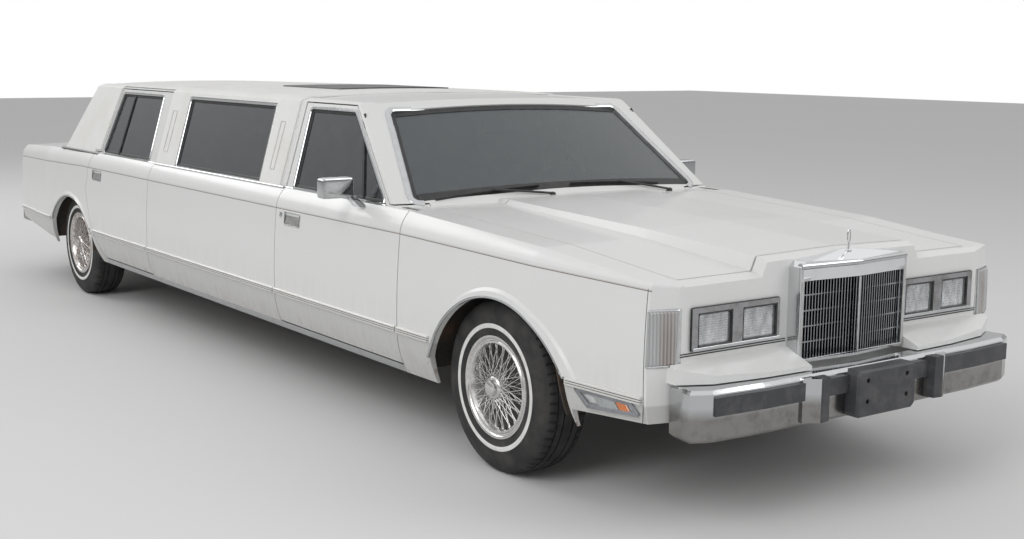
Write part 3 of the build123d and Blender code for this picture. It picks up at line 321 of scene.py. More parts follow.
chrome = finish("aged_chrome", "bright_trim", filmed((0.55, 0.56, 0.57), (0.36, 0.34, 0.31), 0.3),
                dulled(0.07, 0.16), pits, 0.05, Metallic=1.0)
# Low down the bumper's colour is painted dark, a painted reflection of the ground, and its roughness rises
# there
bumper_chrome = finish("bumper_dulled_with_painted_reflection", "bright_trim",
                       lambda p: low_dulling_and_reflection(p).mix((0.56, 0.57, 0.58), (0.20, 0.19, 0.175)),
                       lambda p: low_dulling_and_reflection(p) * 0.14 + film(p) * 0.1 + 0.07, pits, 0.05, Metallic=1.0)
wire_metal = finish("wire_cover_metal", "wheel_chrome",
                    lambda p: rust_dust(p).mix((0.70, 0.70, 0.69), (0.24, 0.12, 0.06)),
                    lambda p: rust_dust(p) * 0.5 + 0.14, Metallic=lambda p: 1 - rust_dust(p) * 0.8)
dish_metal = finish("dish_shade", "wheel_chrome",
                    lambda p: rust_dust(p).mix((0.07, 0.068, 0.066), (0.13, 0.06, 0.03)),
                    0.6, grain(160), 0.2, Metallic=0.3)
clear_glass = finish("windscreen_glass", "glass_clear", filmed((0.060, 0.078, 0.088), (0.09, 0.105, 0.11)),
                     0.03, Alpha=0.60, Coat_Weight=1.0, Coat_Roughness=0.02)
dark_glass = finish("tinted_glass", "glass_dark", filmed((0.014, 0.018, 0.024), (0.035, 0.038, 0.042)),
                    0.04, Alpha=0.90, Coat_Weight=1.0, Coat_Roughness=0.02)
lens_clear = finish("lamp_lens", "lamp_clear", filmed((0.62, 0.64, 0.65), (0.42, 0.42, 0.41)), 0.12,
                    lambda p: bands(p, "Y", 38.0), 0.5, Metallic=0.35, Coat_Weight=1.0)
lens_red = finish("red_lens", "lamp_red", filmed((0.32, 0.012, 0.012), (0.16, 0.012, 0.012)), 0.14,
                  lambda p: bands(p, "Z", 30.0), 0.5, Coat_Weight=1.0)
print("bright metal, glass and lenses", len(SLOTS))

# %% Rubber, dark metal, plastic and cloth
FRONT_AXLE_X = 2.546
REAR_AXLE_X = -2.262
AXLE_Z = 0.341
BAND_INNER, BAND_OUTER = 0.230, 0.248
FLOOR_TOP_Z = 0.316
CARPET_FRONT_X = 1.865


def wheel_radius(place):
    """Distance from the nearer axle, in the side view."""
    middle, half_base = (FRONT_AXLE_X + REAR_AXLE_X) / 2, (FRONT_AXLE_X - REAR_AXLE_X) / 2
    along = abs(axis(place, 0) - middle) - half_base
    up = axis(place, 2) - AXLE_Z
    return (along * along + up * up) ** 0.5


def tyre_colour(place):
    """Black rubber with a dirty white band on the side wall."""
    radius = wheel_radius(place)
    band = radius.ramp(BAND_INNER, BAND_INNER + 0.001) * (1 - radius.ramp(BAND_OUTER, BAND_OUTER + 0.001))
    white = noise(place, 25, 4).ramp(0.4, 0.9).mix((0.80, 0.80, 0.79), (0.60, 0.58, 0.54))
    black = noise(place, 15, 5).ramp(0.4, 0.8).mix((0.018, 0.018, 0.019), (0.055, 0.052, 0.048))
    return (band * (abs(axis(place, 1)) > 0.85)).mix(black, white)


def undercoat_colour(place):
    """Black undercoat with brown patches."""
    return noise(place, 7, 5, 0.6).ramp(0.45, 0.75).mix((0.035, 0.033, 0.03), (0.12, 0.07, 0.045))


def floor_colour(place):
    """Undercoat below, and grey carpet on the floor's upper face, told apart by height."""
    carpet = noise(place, 25, 5, 0.7).mix((0.085, 0.085, 0.09), (0.14, 0.138, 0.135))
    inside = (axis(place, 2) > FLOOR_TOP_Z) * (axis(place, 0) < CARPET_FRONT_X)
    return inside.mix(undercoat_colour(place), carpet)


charcoal = finish("bumper_rubber", "dark_strip", filmed((0.045, 0.046, 0.052), (0.10, 0.10, 0.10)),
                  dulled(0.5, 0.2), grain(420, 2), 0.12)
black_rubber = finish("window_rubber", "dark_strip", filmed((0.012, 0.012, 0.013), (0.05, 0.05, 0.05)),
                      dulled(0.45, 0.2), grain(500, 2), 0.1)
rubber = finish("whitewall_rubber", "tyre_rubber", tyre_colour, 0.75, grain(240), 0.15)
underside = finish("undercoat", "underbody", undercoat_colour, 0.85, grain(90, 4), 0.5, 0.002)
carpeted = finish("carpeted_floor", "underbody", floor_colour, 0.95, grain(420), 0.5, 0.002)
iron = finish("oily_iron", "engine_iron", filmed((0.09, 0.09, 0.095), (0.16, 0.13, 0.11)), 0.6,
              grain(120, 4), 0.4, Metallic=0.6)
exhaust_steel = finish("rusty_steel", "exhaust_steel",
                       lambda p: noise(p, 12, 5).ramp(0.4, 0.7).mix((0.22, 0.19, 0.17), (0.20, 0.085, 0.04)),
                       0.7, grain(160, 4), 0.4, Metallic=0.5)
cabin_plastic = finish("cabin_plastic", "interior_plastic", filmed((0.10, 0.10, 0.105), (0.15, 0.15, 0.15)),
                       0.6, grain(700, 2), 0.2)
cloth = finish("seat_velour", "seat_cloth", mottled((0.25, 0.25, 0.26), (0.36, 0.36, 0.365), 30, 4), 0.9,
               grain(900), 0.4, Sheen_Weight=0.4)
print("all finishes so far", len(SLOTS))

# %% Give each node its finish
NODE_FINISHES = {SLOTS[material.name]: material for material in (
    paint, vinyl, chrome, lens_clear, lens_red, charcoal, clear_glass, dark_glass, underside, iron,
    exhaust_steel, cabin_plastic, cloth, rubber, wire_metal)}


def repaint(node, material):
    """Put one material on a whole node."""
    for slot in frame["nodes"][node].material_slots:
        slot.material = material


for part in frame["record"]["subparts"]:
    repaint(part["node"], NODE_FINISHES[part["material_slot"]])
repaint("floor_pan", carpeted)
repaint("front_bumper", bumper_chrome)
repaint("rear_bumper", bumper_chrome)
print("finished", len(frame["nodes"]), "nodes with", len(NODE_FINISHES) + 2, "materials")

# %% [markdown]
# Every added piece is a grid of points: rows go along it, columns go round it. Neighbouring points make
# quads, open ends are capped, and the faces are turned outwards. A moulding is a profile carried along a
# path. These few helpers make nearly all the trim, so a later cell only gives a piece's path and profile.

# %% Grids, sweeps and rings
SHARP_ANGLE = math.radians(38)
WELD = 1e-6


def grid_faces(rows, columns, rows_closed, columns_closed):
    """Quads of a grid's points: (i, j), (i, j+1), (i+1, j+1) and (i+1, j), wrapped where it is closed."""
    i = np.arange(rows if rows_closed else rows - 1)[:, None]
    j = np.arange(columns if columns_closed else columns - 1)[None, :]
    below, right = (i + 1) % rows, (j + 1) % columns
    corners = (i * columns + j, i * columns + right, below * columns + right, below * columns + j)
    return np.stack(np.broadcast_arrays(*corners), axis=-1).reshape(-1, 4)


def make(name, grids, material, body="root", stands_for=None):
    """One piece from grids, each (points, rows closed, columns closed), welded, capped and faced outwards."""
    points, faces, start = [], [], 0
    for grid, rows_closed, columns_closed in grids:
        rows, columns = grid.shape[:2]
        points.append(grid.reshape(-1, 3))
        faces.append(grid_faces(rows, columns, rows_closed, columns_closed) + start)
        start += rows * columns
    mesh = bpy.data.meshes.new(name)
    mesh.from_pydata(np.concatenate(points).tolist(), [], np.concatenate(faces).tolist())
    shell = bmesh.new()
    shell.from_mesh(mesh)
    bmesh.ops.remove_doubles(shell, verts=shell.verts, dist=WELD)
    bmesh.ops.holes_fill(shell, edges=shell.edges, sides=0)
    bmesh.ops.recalc_face_normals(shell, faces=shell.faces)
    shell.to_mesh(mesh)
    shell.free()
    mesh.shade_smooth()
    mesh.set_sharp_from_angle(angle=SHARP_ANGLE)
    mesh.materials.append(material)
    piece = bpy.data.objects.new(name, mesh)
    scene.collection.objects.link(piece)
    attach(piece, body)
    if stands_for:
        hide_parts(stands_for)
    return piece


def unit(vectors):
    """Vectors divided by their lengths."""
    return vectors / np.linalg.norm(vectors, axis=-1, keepdims=True)


def at(x, y, z):
    """Points from their coordinates, each of them a number or an array."""
    return np.stack(np.broadcast_arrays(*(np.asarray(part, float) for part in (x, y, z))), axis=-1)


def round_turn(steps):
    """Evenly spaced angles once round."""
    return np.linspace(0, 2 * np.pi, steps, endpoint=False)


def sweep(path, profile, outward, closed=False):
    """A profile of (sideways, outward) pairs carried along a path. Sideways is the path's way x outward."""
    path, profile = np.asarray(path, float), np.asarray(profile, float)
    outward = unit(np.broadcast_to(np.asarray(outward, float), path.shape))
    if closed:
        along = np.roll(path, -1, axis=0) - np.roll(path, 1, axis=0)
    else:
        along = np.gradient(path, axis=0)
    across = unit(np.cross(along, outward))
    grid = path[:, None] + profile[None, :, :1] * across[:, None] + profile[None, :, 1:] * outward[:, None]
    return grid, closed, True


def tube(path, radius, outward, closed=False, steps=8):
    """A round profile carried along a path."""
    turn = round_turn(steps)
    return sweep(path, radius * np.stack([np.cos(turn), np.sin(turn)], axis=-1), outward, closed)


def rectangle(first, second):
    """The corners of a rectangle over two ranges, in order round it."""
    (a0, a1), (b0, b1) = first, second
    return [(a0, b0), (a1, b0), (a1, b1), (a0, b1)]


def rounded(corners, radius, steps=5):
    """A closed outline of 2-D corners with arcs in them: each arc touches both of its corner's sides."""
    corners = np.asarray(corners, float)
    into, out = unit(corners - np.roll(corners, 1, axis=0)), unit(np.roll(corners, -1, axis=0) - corners)
    bend = np.arccos(np.clip(np.sum(into * out, axis=-1), -1, 1))
    reach = (radius * np.tan(bend / 2))[:, None]
    start, end = (corners - into * reach)[:, None], (corners + out * reach)[:, None]
    t = np.linspace(0, 1, steps)[None, :, None]
    return ((1 - t) ** 2 * start + 2 * t * (1 - t) * corners[:, None] + t ** 2 * end).reshape(-1, 2)


def lathe(profile, centre, steps, side, closed=True):
    """A ring of (out, radius) pairs turned round the axle: x = r cos a, z = r sin a, y = side times out."""
    out, radius = np.asarray(profile, float).T
    turn = round_turn(steps)[:, None]
    return at(radius * np.cos(turn), side * out, radius * np.sin(turn)) + centre, True, closed


def spread(first, second, columns, rows):
    """A grid over two ranges: both coordinates, then both as a and b, which go from -1 to 1."""
    a, b = np.meshgrid(np.linspace(-1, 1, columns), np.linspace(-1, 1, rows), indexing="ij")
    (u0, u1), (v0, v1) = first, second
    return (u0 + u1) / 2 + (u1 - u0) / 2 * a, (v0 + v1) / 2 + (v1 - v0) / 2 * b, a, b


def power_wave(wave, power):
    """The wave's sign times its size raised to a power."""
    return np.sign(wave) * np.abs(wave) ** power


def pebble(centre, half, power, steps):
    """A rounded box: a sphere's cosines and sines of u and v, raised to a power, times the half sizes."""
    v, u = np.linspace(-np.pi / 2, np.pi / 2, steps[0])[:, None], round_turn(steps[1])[None, :]
    level = power_wave(np.cos(v), power)
    grid = at(level * power_wave(np.cos(u), power), level * power_wave(np.sin(u), power),
              power_wave(np.sin(v), power))
    return grid * half + centre, False, True


print("grid helpers ready")

# %% [markdown]
# The body's side is known from its cross sections, so a moulding can follow it by formula. Each section gives
# the half width at its widest line and at the crease above it, and between sections the widths go straight.

# %% The body's side, and the window planes
# x, half width at the widest line, half width at the crease, height of the crease
SECTIONS = np.array([
    (-3.455, 0.905, 0.893, 0.854), (-2.760, 0.957, 0.939, 0.876), (-1.990, 0.966, 0.948, CREASE_Z),
    (1.941, 0.966, 0.948, CREASE_Z), (2.850, 0.956, 0.940, 0.873), (3.436, 0.906, 0.895, 0.859),
    (3.470, 0.806, 0.797, 0.850),
])
WIDE_Z = 0.470
SIDE_BULGE = 0.006
BELT_Z = 0.965
GLASS_FOOT_Y = 0.897
SIDE_SLOPE = 0.3
SIDES = (("right", -1), ("left", 1))


def side_y(x, z):
    """Half width of the body: straight from the widest line to the crease, plus a bulge of 4 t (1 - t)."""
    wide, crease, crease_z = (np.interp(x, SECTIONS[:, 0], SECTIONS[:, n]) for n in (1, 2, 3))
    t = np.clip((z - WIDE_Z) / (crease_z - WIDE_Z), 0, 1)
    return wide + (crease - wide) * t + 4 * SIDE_BULGE * t * (1 - t)


def on_side(x, z, side, lift=0.0):
    """Points of the body's side at x and z, moved out by lift."""
    return at(x, side * (side_y(x, z) + lift), z)


def on_glasshouse(outline, side, lift=0.0):
    """Points of (x, z) pairs on the leaning side of the glasshouse: y falls by the slope with height."""
    x, z = np.asarray(outline, float).T
    lean = math.hypot(1, SIDE_SLOPE)
    y = GLASS_FOOT_Y - SIDE_SLOPE * (z - BELT_Z) + lift / lean
    return at(x, side * y, z + lift * SIDE_SLOPE / lean)


def glasshouse_out(side):
    """The direction that the glasshouse's side faces."""
    return 0, side, SIDE_SLOPE


print("half width at the front axle", round(float(side_y(FRONT_AXLE_X, WIDE_Z)), 3))

# %% [markdown]
# The side moulding is a bright bar with two dark grooves. It is one extrusion on the real car, cut at each
# panel, so each door carries its own length. The profile goes round once, with two notches in its face.

# %% Side mouldings
MOULD_Z = (0.461, 0.489)
MOULD_OUT = 0.013
mould_middle = sum(MOULD_Z) / 2
mould_half = (MOULD_Z[1] - MOULD_Z[0]) / 2
# share of the half height, share of the depth: from an edge to the middle, with a groove on the way
HALF_SECTION = np.array([(1, -0.002 / MOULD_OUT), (1, 0.7), (0.8, 1), (0.42, 1), (0.36, 0.72), (0.24, 0.72),
                         (0.18, 1)])
MOULD_PROFILE = np.concatenate([HALF_SECTION * (-1, 1), HALF_SECTION[::-1]]) * (mould_half, MOULD_OUT)
# panel, rear x, front x, the body that carries it, with {side} for right or left
MOULD_RUNS = [
    ("fender_nose", 3.052, 3.418, "root"), ("fender_rear", 1.950, 2.186, "root"),
    ("front_door", 0.806, 1.936, "door_front_{side}"), ("middle", -0.849, 0.796, "root"),
    ("rear_door", -1.776, -0.859, "door_rear_{side}"), ("quarter", -3.440, -2.640, "root"),
]
NOSE_SEAM_X = 3.4225
NOSE_SEAM_Z = (0.400, 0.852)


def groove_shade(place):
    """Dark in the two grooves, found by height, and bright on the faces beside them."""
    off = abs(axis(place, 2) - mould_middle)
    return (off > mould_half * 0.22) * (off < mould_half * 0.38)


moulding_metal = finish("grooved_moulding", "bright_trim",
                        lambda p: groove_shade(p).mix((0.76, 0.755, 0.73), (0.10, 0.10, 0.10)),
                        dulled(0.36, 0.15), Metallic=lambda p: 0.45 - groove_shade(p) * 0.4)
for word, side in SIDES:
    for panel, rear_x, front_x, body in MOULD_RUNS:
        path = on_side(np.linspace(rear_x, front_x, 24), mould_middle, side)
        make(f"side_moulding_{panel}_{word}", [sweep(path, MOULD_PROFILE, (0, side, 0))], moulding_metal,
             body.format(side=word))
    seam = on_side(NOSE_SEAM_X, np.linspace(*NOSE_SEAM_Z, 16), side, -0.0003)
    make(f"nose_seam_{word}", [tube(seam, 0.0014, (0, side, 0), steps=6)], charcoal)
print("side mouldings", 2 * len(MOULD_RUNS))

# %% [markdown]
# A thin bright lip edges each wheel arch. The arch is an arc through three points of the side view, and the
# lip is a tube that lies on the flare, a little lower where the flare runs out.

# %% Arch lips
ARCHES = [("front", [(2.178, 0.400), (2.575, 0.706), (3.035, 0.480)]),
          ("rear", [(-2.618, 0.470), (-2.240, 0.661), (-1.820, 0.457)])]
FLARE_RISE = 0.008
FLARE_FOOT_Z = WIDE_Z + 0.018


def arc_through(first, middle, last, steps=48):
    """Points on the circle through three points: its centre is where the two chords' middle lines cross."""
    first, middle, last = (np.array(p, float) for p in (first, middle, last))
    chords = np.stack([middle - first, last - middle])
    centre = np.linalg.solve(chords, np.sum(chords * np.stack([first + middle, middle + last]) / 2, axis=-1))
    start, end = (math.atan2(*(p - centre)[::-1]) for p in (first, last))
    turn = np.linspace(start, end, steps)
    return centre + math.dist(first, centre) * np.stack([np.cos(turn), np.sin(turn)], axis=-1)


for word, side in SIDES:
    for end_name, arch in ARCHES:
        x, z = arc_through(*arch).T
        path = on_side(x, z, side, FLARE_RISE * np.where(z < FLARE_FOOT_Z, 0.1, 0.6))
        make(f"arch_lip_{end_name}_{word}", [tube(path, 0.006, (0, side, 0))], chrome)
print("arch lips", 2 * len(ARCHES))

# %% [markdown]
# Each side window has a bright frame on the metal and a black rubber on the glass. Both follow the window's
# outline with small round corners, a few millimetres out or in, on the plane of the glasshouse's side.

# %% Side window frames
WINDOW_FOOT, WINDOW_HEAD = 0.972, 1.345
WINDOW_CORNER = 0.018
# window, rear and front x at the foot, rear and front x at the head, the body that carries it
WINDOWS = [
    ("front", (0.884, 1.738), (0.866, 1.292), "door_front_{side}"),
    ("middle", (-0.556, 0.510), (-0.570, 0.496), "root"),
    ("rear", (-1.722, -0.965), (-1.618, -0.979), "door_rear_{side}"),
]
FRAME_PROFILE = np.array([(-0.004, -0.0075), (-0.004, 0.003), (-0.001, 0.006), (0.008, 0.006), (0.011, 0.003),
                          (0.011, -0.002)])
RUBBER_PROFILE = np.array([(0, -0.0078), (0, -0.0045), (0.014, -0.0045), (0.019, -0.0062), (0.019, -0.0078)])
# The front window has a vent divider and the rear one a fixed quarter: foot x, head x
DIVIDERS = [("front", 1.535, 1.362), ("rear", -1.479, -1.437)]
DIVIDER_Z = (0.974, 1.338)
BAR_PROFILE = [(-0.009, -0.0078), (-0.008, -0.001), (0.008, -0.001), (0.009, -0.0078)]

for word, side in SIDES:
    for window, (foot_rear, foot_front), (head_rear, head_front), body in WINDOWS:
        corners = [(foot_rear, WINDOW_FOOT), (foot_front, WINDOW_FOOT), (head_front, WINDOW_HEAD),
                   (head_rear, WINDOW_HEAD)]
        loop, out = on_glasshouse(rounded(corners, WINDOW_CORNER), side), glasshouse_out(side)
        # Sideways points outwards of the opening on one side of the car and inwards on the other
        make(f"window_frame_{window}_{word}", [sweep(loop, FRAME_PROFILE * (-side, 1), out, True)], chrome,
             body.format(side=word))
        make(f"window_rubber_{window}_{word}", [sweep(loop, RUBBER_PROFILE * (side, 1), out, True)],
             black_rubber, body.format(side=word))
for word, side in SIDES:
    for window, foot_x, head_x in DIVIDERS:
        path = on_glasshouse(np.linspace((foot_x, DIVIDER_Z[0]), (head_x, DIVIDER_Z[1]), 9), side)
        bar = sweep(path, BAR_PROFILE, glasshouse_out(side))
        make(f"window_divider_{window}_{word}", [bar], black_rubber, f"door_{window}_{word}")
print("side window frames", 2 * len(WINDOWS), "dividers", 2 * len(DIVIDERS))

# %% [markdown]
# The windscreen and the back window are bowed: each is part of a wide cylinder whose axis runs up the glass.
# A point u across and v up the glass lies at depth R minus the square root of R squared minus u squared.

# %% Windscreen and back window frames
# foot and head on the centre line (x, z), bow radius, opening (u, v)
SCREEN = ((1.925, 0.955), (1.350, 1.404), 6.5,
          [(-0.800, 0.108), (-0.400, 0.090), (0.400, 0.090), (0.800, 0.108), (0.655, 0.678), (-0.655, 0.678)])
BACK = ((-2.520, 0.950), (-2.130, 1.412), 6.0,
        [(-0.690, 0.100), (0.690, 0.100), (0.610, 0.545), (-0.610, 0.545)])
SCREEN_FRAME = np.array([(-0.003, -0.0078), (-0.003, 0.003), (0.003, 0.008), (0.020, 0.008), (0.027, 0.003),
                         (0.027, -0.003)])
BLACK_BAND = np.array([(0.0, -0.0078), (0.0, -0.0060), (0.020, -0.0060), (0.024, -0.0078)])
CORNER_STEPS = 7
# shade, half width, v in the middle, reach to each side, rise of v at the window's corners
SHADES = [("foot", 0.022, 0.117, 0.765, 0.018), ("head", 0.014, 0.660, 0.655, 0.0)]


def bow_axes(foot, head):
    """Unit vectors across, up and out of a raked window."""
    rise = math.dist(foot, head)
    up = np.array([(head[0] - foot[0]) / rise, 0, (head[1] - foot[1]) / rise])
    turn = 1 if up[0] < 0 else -1
    return np.array([0, turn, 0]), up, turn * np.array([up[2], 0, -up[0]])


def on_bow(window, outline):
    """Points of a bowed window at (u, v) pairs, and the direction that the glass faces at each."""
    foot, head, bow = window[:3]
    across, up, out = bow_axes(foot, head)
    u, v = np.asarray(outline, float).T[..., None]
    depth = bow - np.sqrt(bow ** 2 - u ** 2)
    points = at(foot[0], 0, foot[1]) + u * across + v * up - depth * out
    return points, unit(out * (bow - depth) + u * across)


for pane, window, corner in (("windscreen", SCREEN, 0.035), ("back_window", BACK, 0.03)):
    points, facing = on_bow(window, rounded(window[3], corner, CORNER_STEPS))
    closed = window is BACK
    # The windscreen's frame leaves out the foot: it starts in the foot's last corner and ends in its first
    order = np.arange(len(points)) if closed else np.r_[3 * CORNER_STEPS:len(points), 0:CORNER_STEPS]
    make(f"{pane}_frame", [sweep(points[order], SCREEN_FRAME, facing[order], closed)], chrome)
    make(f"{pane}_band", [sweep(points, BLACK_BAND * (-1, 1), facing, True)], black_rubber)
for name, half_width, v, reach, rise in SHADES:
    u = np.linspace(-reach, reach, 48)
    points, facing = on_bow(SCREEN, np.stack([u, v + rise * (u / 0.8) ** 2], axis=-1))
    strip = rectangle((-half_width, half_width), (-0.0079, -0.0055))
    make(f"windscreen_shade_{name}", [sweep(points, strip, facing)], black_rubber)
print("windscreen frame and back window frame")

# %% [markdown]
# The belt moulding runs under the windows, and a similar one closes the foot of the padded roof. A thin welt
# marks where the padded cover starts, over the roof just behind the front doors.

# %% Belt mouldings and the cover's welt
BELT_RUNS = [("front_door", 0.806, 1.742, "door_front_{side}"), ("middle", -0.849, 0.796, "root"),
             ("rear_door", -1.752, -0.859, "door_rear_{side}"), ("quarter", -2.500, -1.795, "root")]
COVER_LIFT = 0.008
COVER_FRONT_X = 0.745
# x, height of the roof's middle
ROOF_LINE = np.array([(-2.64, 1.393), (-2.15, 1.401), (-0.90, 1.412), (0.50, 1.411), (1.372, 1.399),
                      (2.01, 1.390)])
SHOULDER_Y, SHOULDER_DROP = 0.690, 0.018
EDGE_Y, EDGE_Z = 0.774, 1.375


def roof_line(x, steps=40):
    """Across the roof from edge to edge at one x: the side's arc, then the crown's shallow arc."""
    crown = float(np.interp(x, *ROOF_LINE.T))
    t = np.linspace(0, 1, steps)
    rise = t[:-1]
    edge_y = EDGE_Y + (SHOULDER_Y - EDGE_Y) * rise
    edge_z = EDGE_Z + (crown - SHOULDER_DROP - EDGE_Z) * rise + 0.030 * rise * (1 - rise)
    half = np.stack([np.append(edge_y, SHOULDER_Y * (1 - t)),
                     np.append(edge_z, crown - SHOULDER_DROP * (1 - t) ** 1.6)], axis=-1)
    return np.concatenate([half * (-1, 1), half[-2::-1]])


for word, side in SIDES:
    for panel, rear_x, front_x, body in BELT_RUNS:
        lift = COVER_LIFT if body == "root" else 0.0
        path = at(np.linspace(rear_x, front_x, 12), side * (GLASS_FOOT_Y + lift), BELT_Z + 0.002)
        make(f"belt_moulding_{panel}_{word}", [tube(path, 0.0055, glasshouse_out(side))], chrome,
             body.format(side=word))
line_y, line_z = roof_line(COVER_FRONT_X).T
welt = tube(at(COVER_FRONT_X, line_y, line_z + 0.004), 0.0045, at(0, line_y / 0.8, 0.9))
make("cover_welt", [welt], vinyl)
print("belt mouldings", 2 * len(BELT_RUNS), "and the welt")

# %% [markdown]
# Wire wheel covers: a stepped chrome ring, a dark dish, and two layers of thin wires that cross on their way
# from the hub to the ring. Each wire is a five-sided tube between two points.

# %% Wheel covers
HALF_RIM = 0.089
# out, radius
RING = [(-HALF_RIM, 0.190), (HALF_RIM, 0.190), (0.0985, 0.2035), (0.1030, 0.2015), (0.1040, 0.1965),
        (0.1010, 0.1905), (0.0960, 0.1870), (0.0950, 0.1820), (0.0985, 0.1780), (0.0985, 0.1720),
        (0.0900, 0.1660), (0.0700, 0.1600), (0.0450, 0.1490),
        (0.040, 0.150), (0.040, 0.160), (0.060, 0.174), (0.060, 0.181), (-HALF_RIM, 0.181)]
DISH = [(0.046, 0.156), (0.034, 0.145), (0.024, 0.110), (0.022, 0.060), (0.022, 0.0), (0.014, 0.0),
        (0.014, 0.060), (0.016, 0.112), (0.026, 0.150), (0.038, 0.160)]
HUB = [(0.018, 0.0), (0.018, 0.062), (0.040, 0.056), (0.080, 0.050), (0.104, 0.047), (0.112, 0.043),
       (0.115, 0.038), (0.115, 0.034), (0.122, 0.033), (0.129, 0.030), (0.133, 0.022), (0.135, 0.0)]
WIRES = 22
WIRE_RADIUS = 0.0018
WIRE_FOOT, WIRE_HEAD = 0.048, 0.166
# out at the hub, out at the ring, lean of a wire in radians
WIRE_LAYERS = [(0.106, 0.091, 0.42), (0.074, 0.082, 0.30)]
WHEELS = [(f"{end_name}_{word}", side, np.array([x, side * y, AXLE_Z]))
          for end_name, x, y in (("front", FRONT_AXLE_X, 0.790), ("rear", REAR_AXLE_X, 0.787))
          for word, side in SIDES]


def wire(foot, head):
    """A five-sided tube between two points."""
    along = unit(head - foot)
    across = unit(np.cross(along, (0, 1, 0)))
    turn = round_turn(5)[:, None]
    around = WIRE_RADIUS * (np.cos(turn) * across + np.sin(turn) * np.cross(along, across))
    return np.stack([foot + around, head + around])


def wire_layer(centre, side, hub_out, ring_out, lean):
    """Tubes from the hub to the ring, each with its foot at angle a and its head at a plus or minus the lean.

    The two heads of one foot make the wires cross.
    """
    grids = []
    for foot_turn in round_turn(WIRES):
        foot = at(WIRE_FOOT * math.cos(foot_turn), side * hub_out, WIRE_FOOT * math.sin(foot_turn))
        for head_turn in (foot_turn - lean, foot_turn + lean):
            head = at(WIRE_HEAD * math.cos(head_turn), side * ring_out, WIRE_HEAD * math.sin(head_turn))
            grids.append((wire(foot, head) + centre, False, True))
    return grids


for place, side, centre in WHEELS:
    body = f"road_wheel_{place}"
    make(f"wheel_ring_{place}", [lathe(RING, centre, 128, side)], wire_metal, body, f"wheel_{place}")
    make(f"wheel_dish_{place}", [lathe(DISH, centre, 96, side)], dish_metal, body)
    make(f"wheel_hub_{place}", [lathe(HUB, centre, 64, side, closed=False)], wire_metal, body)
    wires = [grid for layer in WIRE_LAYERS for grid in wire_layer(centre, side, *layer)]
    make(f"wheel_wires_{place}", wires, wire_metal, body)
print("wheel covers 4, with", 2 * len(WIRE_LAYERS) * WIRES, "wires each")

# %% [markdown]
# The tyres get a smooth round shape, a raised white band and a tread. The section is drawn once from bead to
# bead. The tread is cut by formula: in the shoulder rows the radius drops inside evenly spaced slots.

# %% Tyres
TREAD_SLOTS = 58
STEPS_PER_SLOT = 8
SLOT_STEPS = 2
SLOT_DEPTH = 0.006
SHOULDER_OUT, SHOULDER_RADIUS = 0.0495, 0.334
# out, radius: from the bead over the side wall to the middle of the tread
HALF_TYRE = np.array([
    (0.089, 0.190), (0.095, 0.194), (0.101, 0.210), (0.1052, 0.2290), (0.1066, 0.2310), (0.1071, 0.2395),
    (0.1067, 0.2480), (0.1057, 0.2500), (0.1055, 0.270), (0.1015, 0.295), (0.096, 0.312), (0.092, 0.322),
    (0.086, 0.330), (0.079, 0.3355), (0.070, 0.3385), (0.056, 0.3400), (0.0555, 0.3335), (0.0495, 0.3335),
    (0.049, 0.3403), (0.026, 0.3408), (0.0255, 0.3340), (0.0195, 0.3340), (0.019, 0.3410), (0.0, 0.3410),
])
TYRE_SECTION = np.concatenate([HALF_TYRE, HALF_TYRE[-2::-1] * (-1, 1)])


def tread(centre, side):
    """The section turned round the axle, with slots in its shoulders where a saw wave of the angle is low."""
    out, radius = TYRE_SECTION.T
    steps = np.arange(TREAD_SLOTS * STEPS_PER_SLOT)[:, None]
    turn = 2 * np.pi * steps / len(steps)
    shoulder = (np.abs(out) > SHOULDER_OUT) & (radius > SHOULDER_RADIUS)
    in_slot = (steps + np.where(out > 0, 0, STEPS_PER_SLOT // 2)) % STEPS_PER_SLOT < SLOT_STEPS
    radius = radius - SLOT_DEPTH * (shoulder & in_slot)
    return at(radius * np.cos(turn), side * out, radius * np.sin(turn)) + centre, True, True


for place, side, centre in WHEELS:
    make(f"tyre_tread_{place}", [tread(centre, side)], rubber, f"road_wheel_{place}", f"tyre_{place}")
print("tyres 4,", len(TYRE_SECTION) * TREAD_SLOTS * STEPS_PER_SLOT, "points each")

# %% [markdown]
# The headlamps are sealed units: a silvered bowl behind a fluted glass, held in the bezel by a black gasket.
# The glass is a crowned sheet whose height rises and falls with a wave across it.

# %% Headlamps
LAMPS_Y = [(0.347, 0.515), (0.563, 0.724)]
LAMP_Z = (0.643, 0.762)
LAMP_FACE_X = 3.474
LAMP_CORNER = 0.014
BOWL_X, BOWL_DEPTH = 3.472, 0.019
PANE_CROWN = 0.005
FLUTES, FLUTE_DEPTH = 11, 0.0028
GASKET = np.array([(-0.001, -0.003), (-0.001, 0.007), (0.002, 0.0085), (0.0065, 0.006), (0.0065, -0.003)])
BEZEL_Y, BEZEL_Z, BEZEL_X = (0.3345, 0.7505), (0.6345, 0.7805), 3.476
SILL_Y, SILL_Z, SILL_X = (0.338, 0.747), 0.639, 3.483
SILL_PROFILE = rounded(rectangle((-0.006, 0.006), (-0.004, 0.004)), 0.003)
LINE_Y, LINES_Z, LINE_X = (0.292, 0.792), (0.6185, 0.6265), 3.4705


def painted_bowl_reflection(place):
    """Painted reflection in the silvered bowl: bright low down and in patches, darker at the top; a fall over
    height, coarse noise and fine bands.
    """
    patches = noise(place, 34, 4, 0.6, (1, 1, 0.45)).ramp(0.35, 0.70)
    return (1 - axis(place, 2).ramp(*LAMP_Z)) * 0.35 + patches * 0.45 + bands(place, "Z", 36.0, 3.0) * 0.2


def bowl(ring, middle):
    """A lamp's bowl: its mouth drawn in by a power of the cosine, while it goes deeper by the sine."""
    turn = np.linspace(0, np.pi / 2, 12)[:, None]
    grid = middle + (ring - middle) * (0, 1, 1) * np.cos(turn)[..., None] ** 0.7
    grid[..., 0] = BOWL_X - BOWL_DEPTH * np.sin(turn)
    return grid, False, True


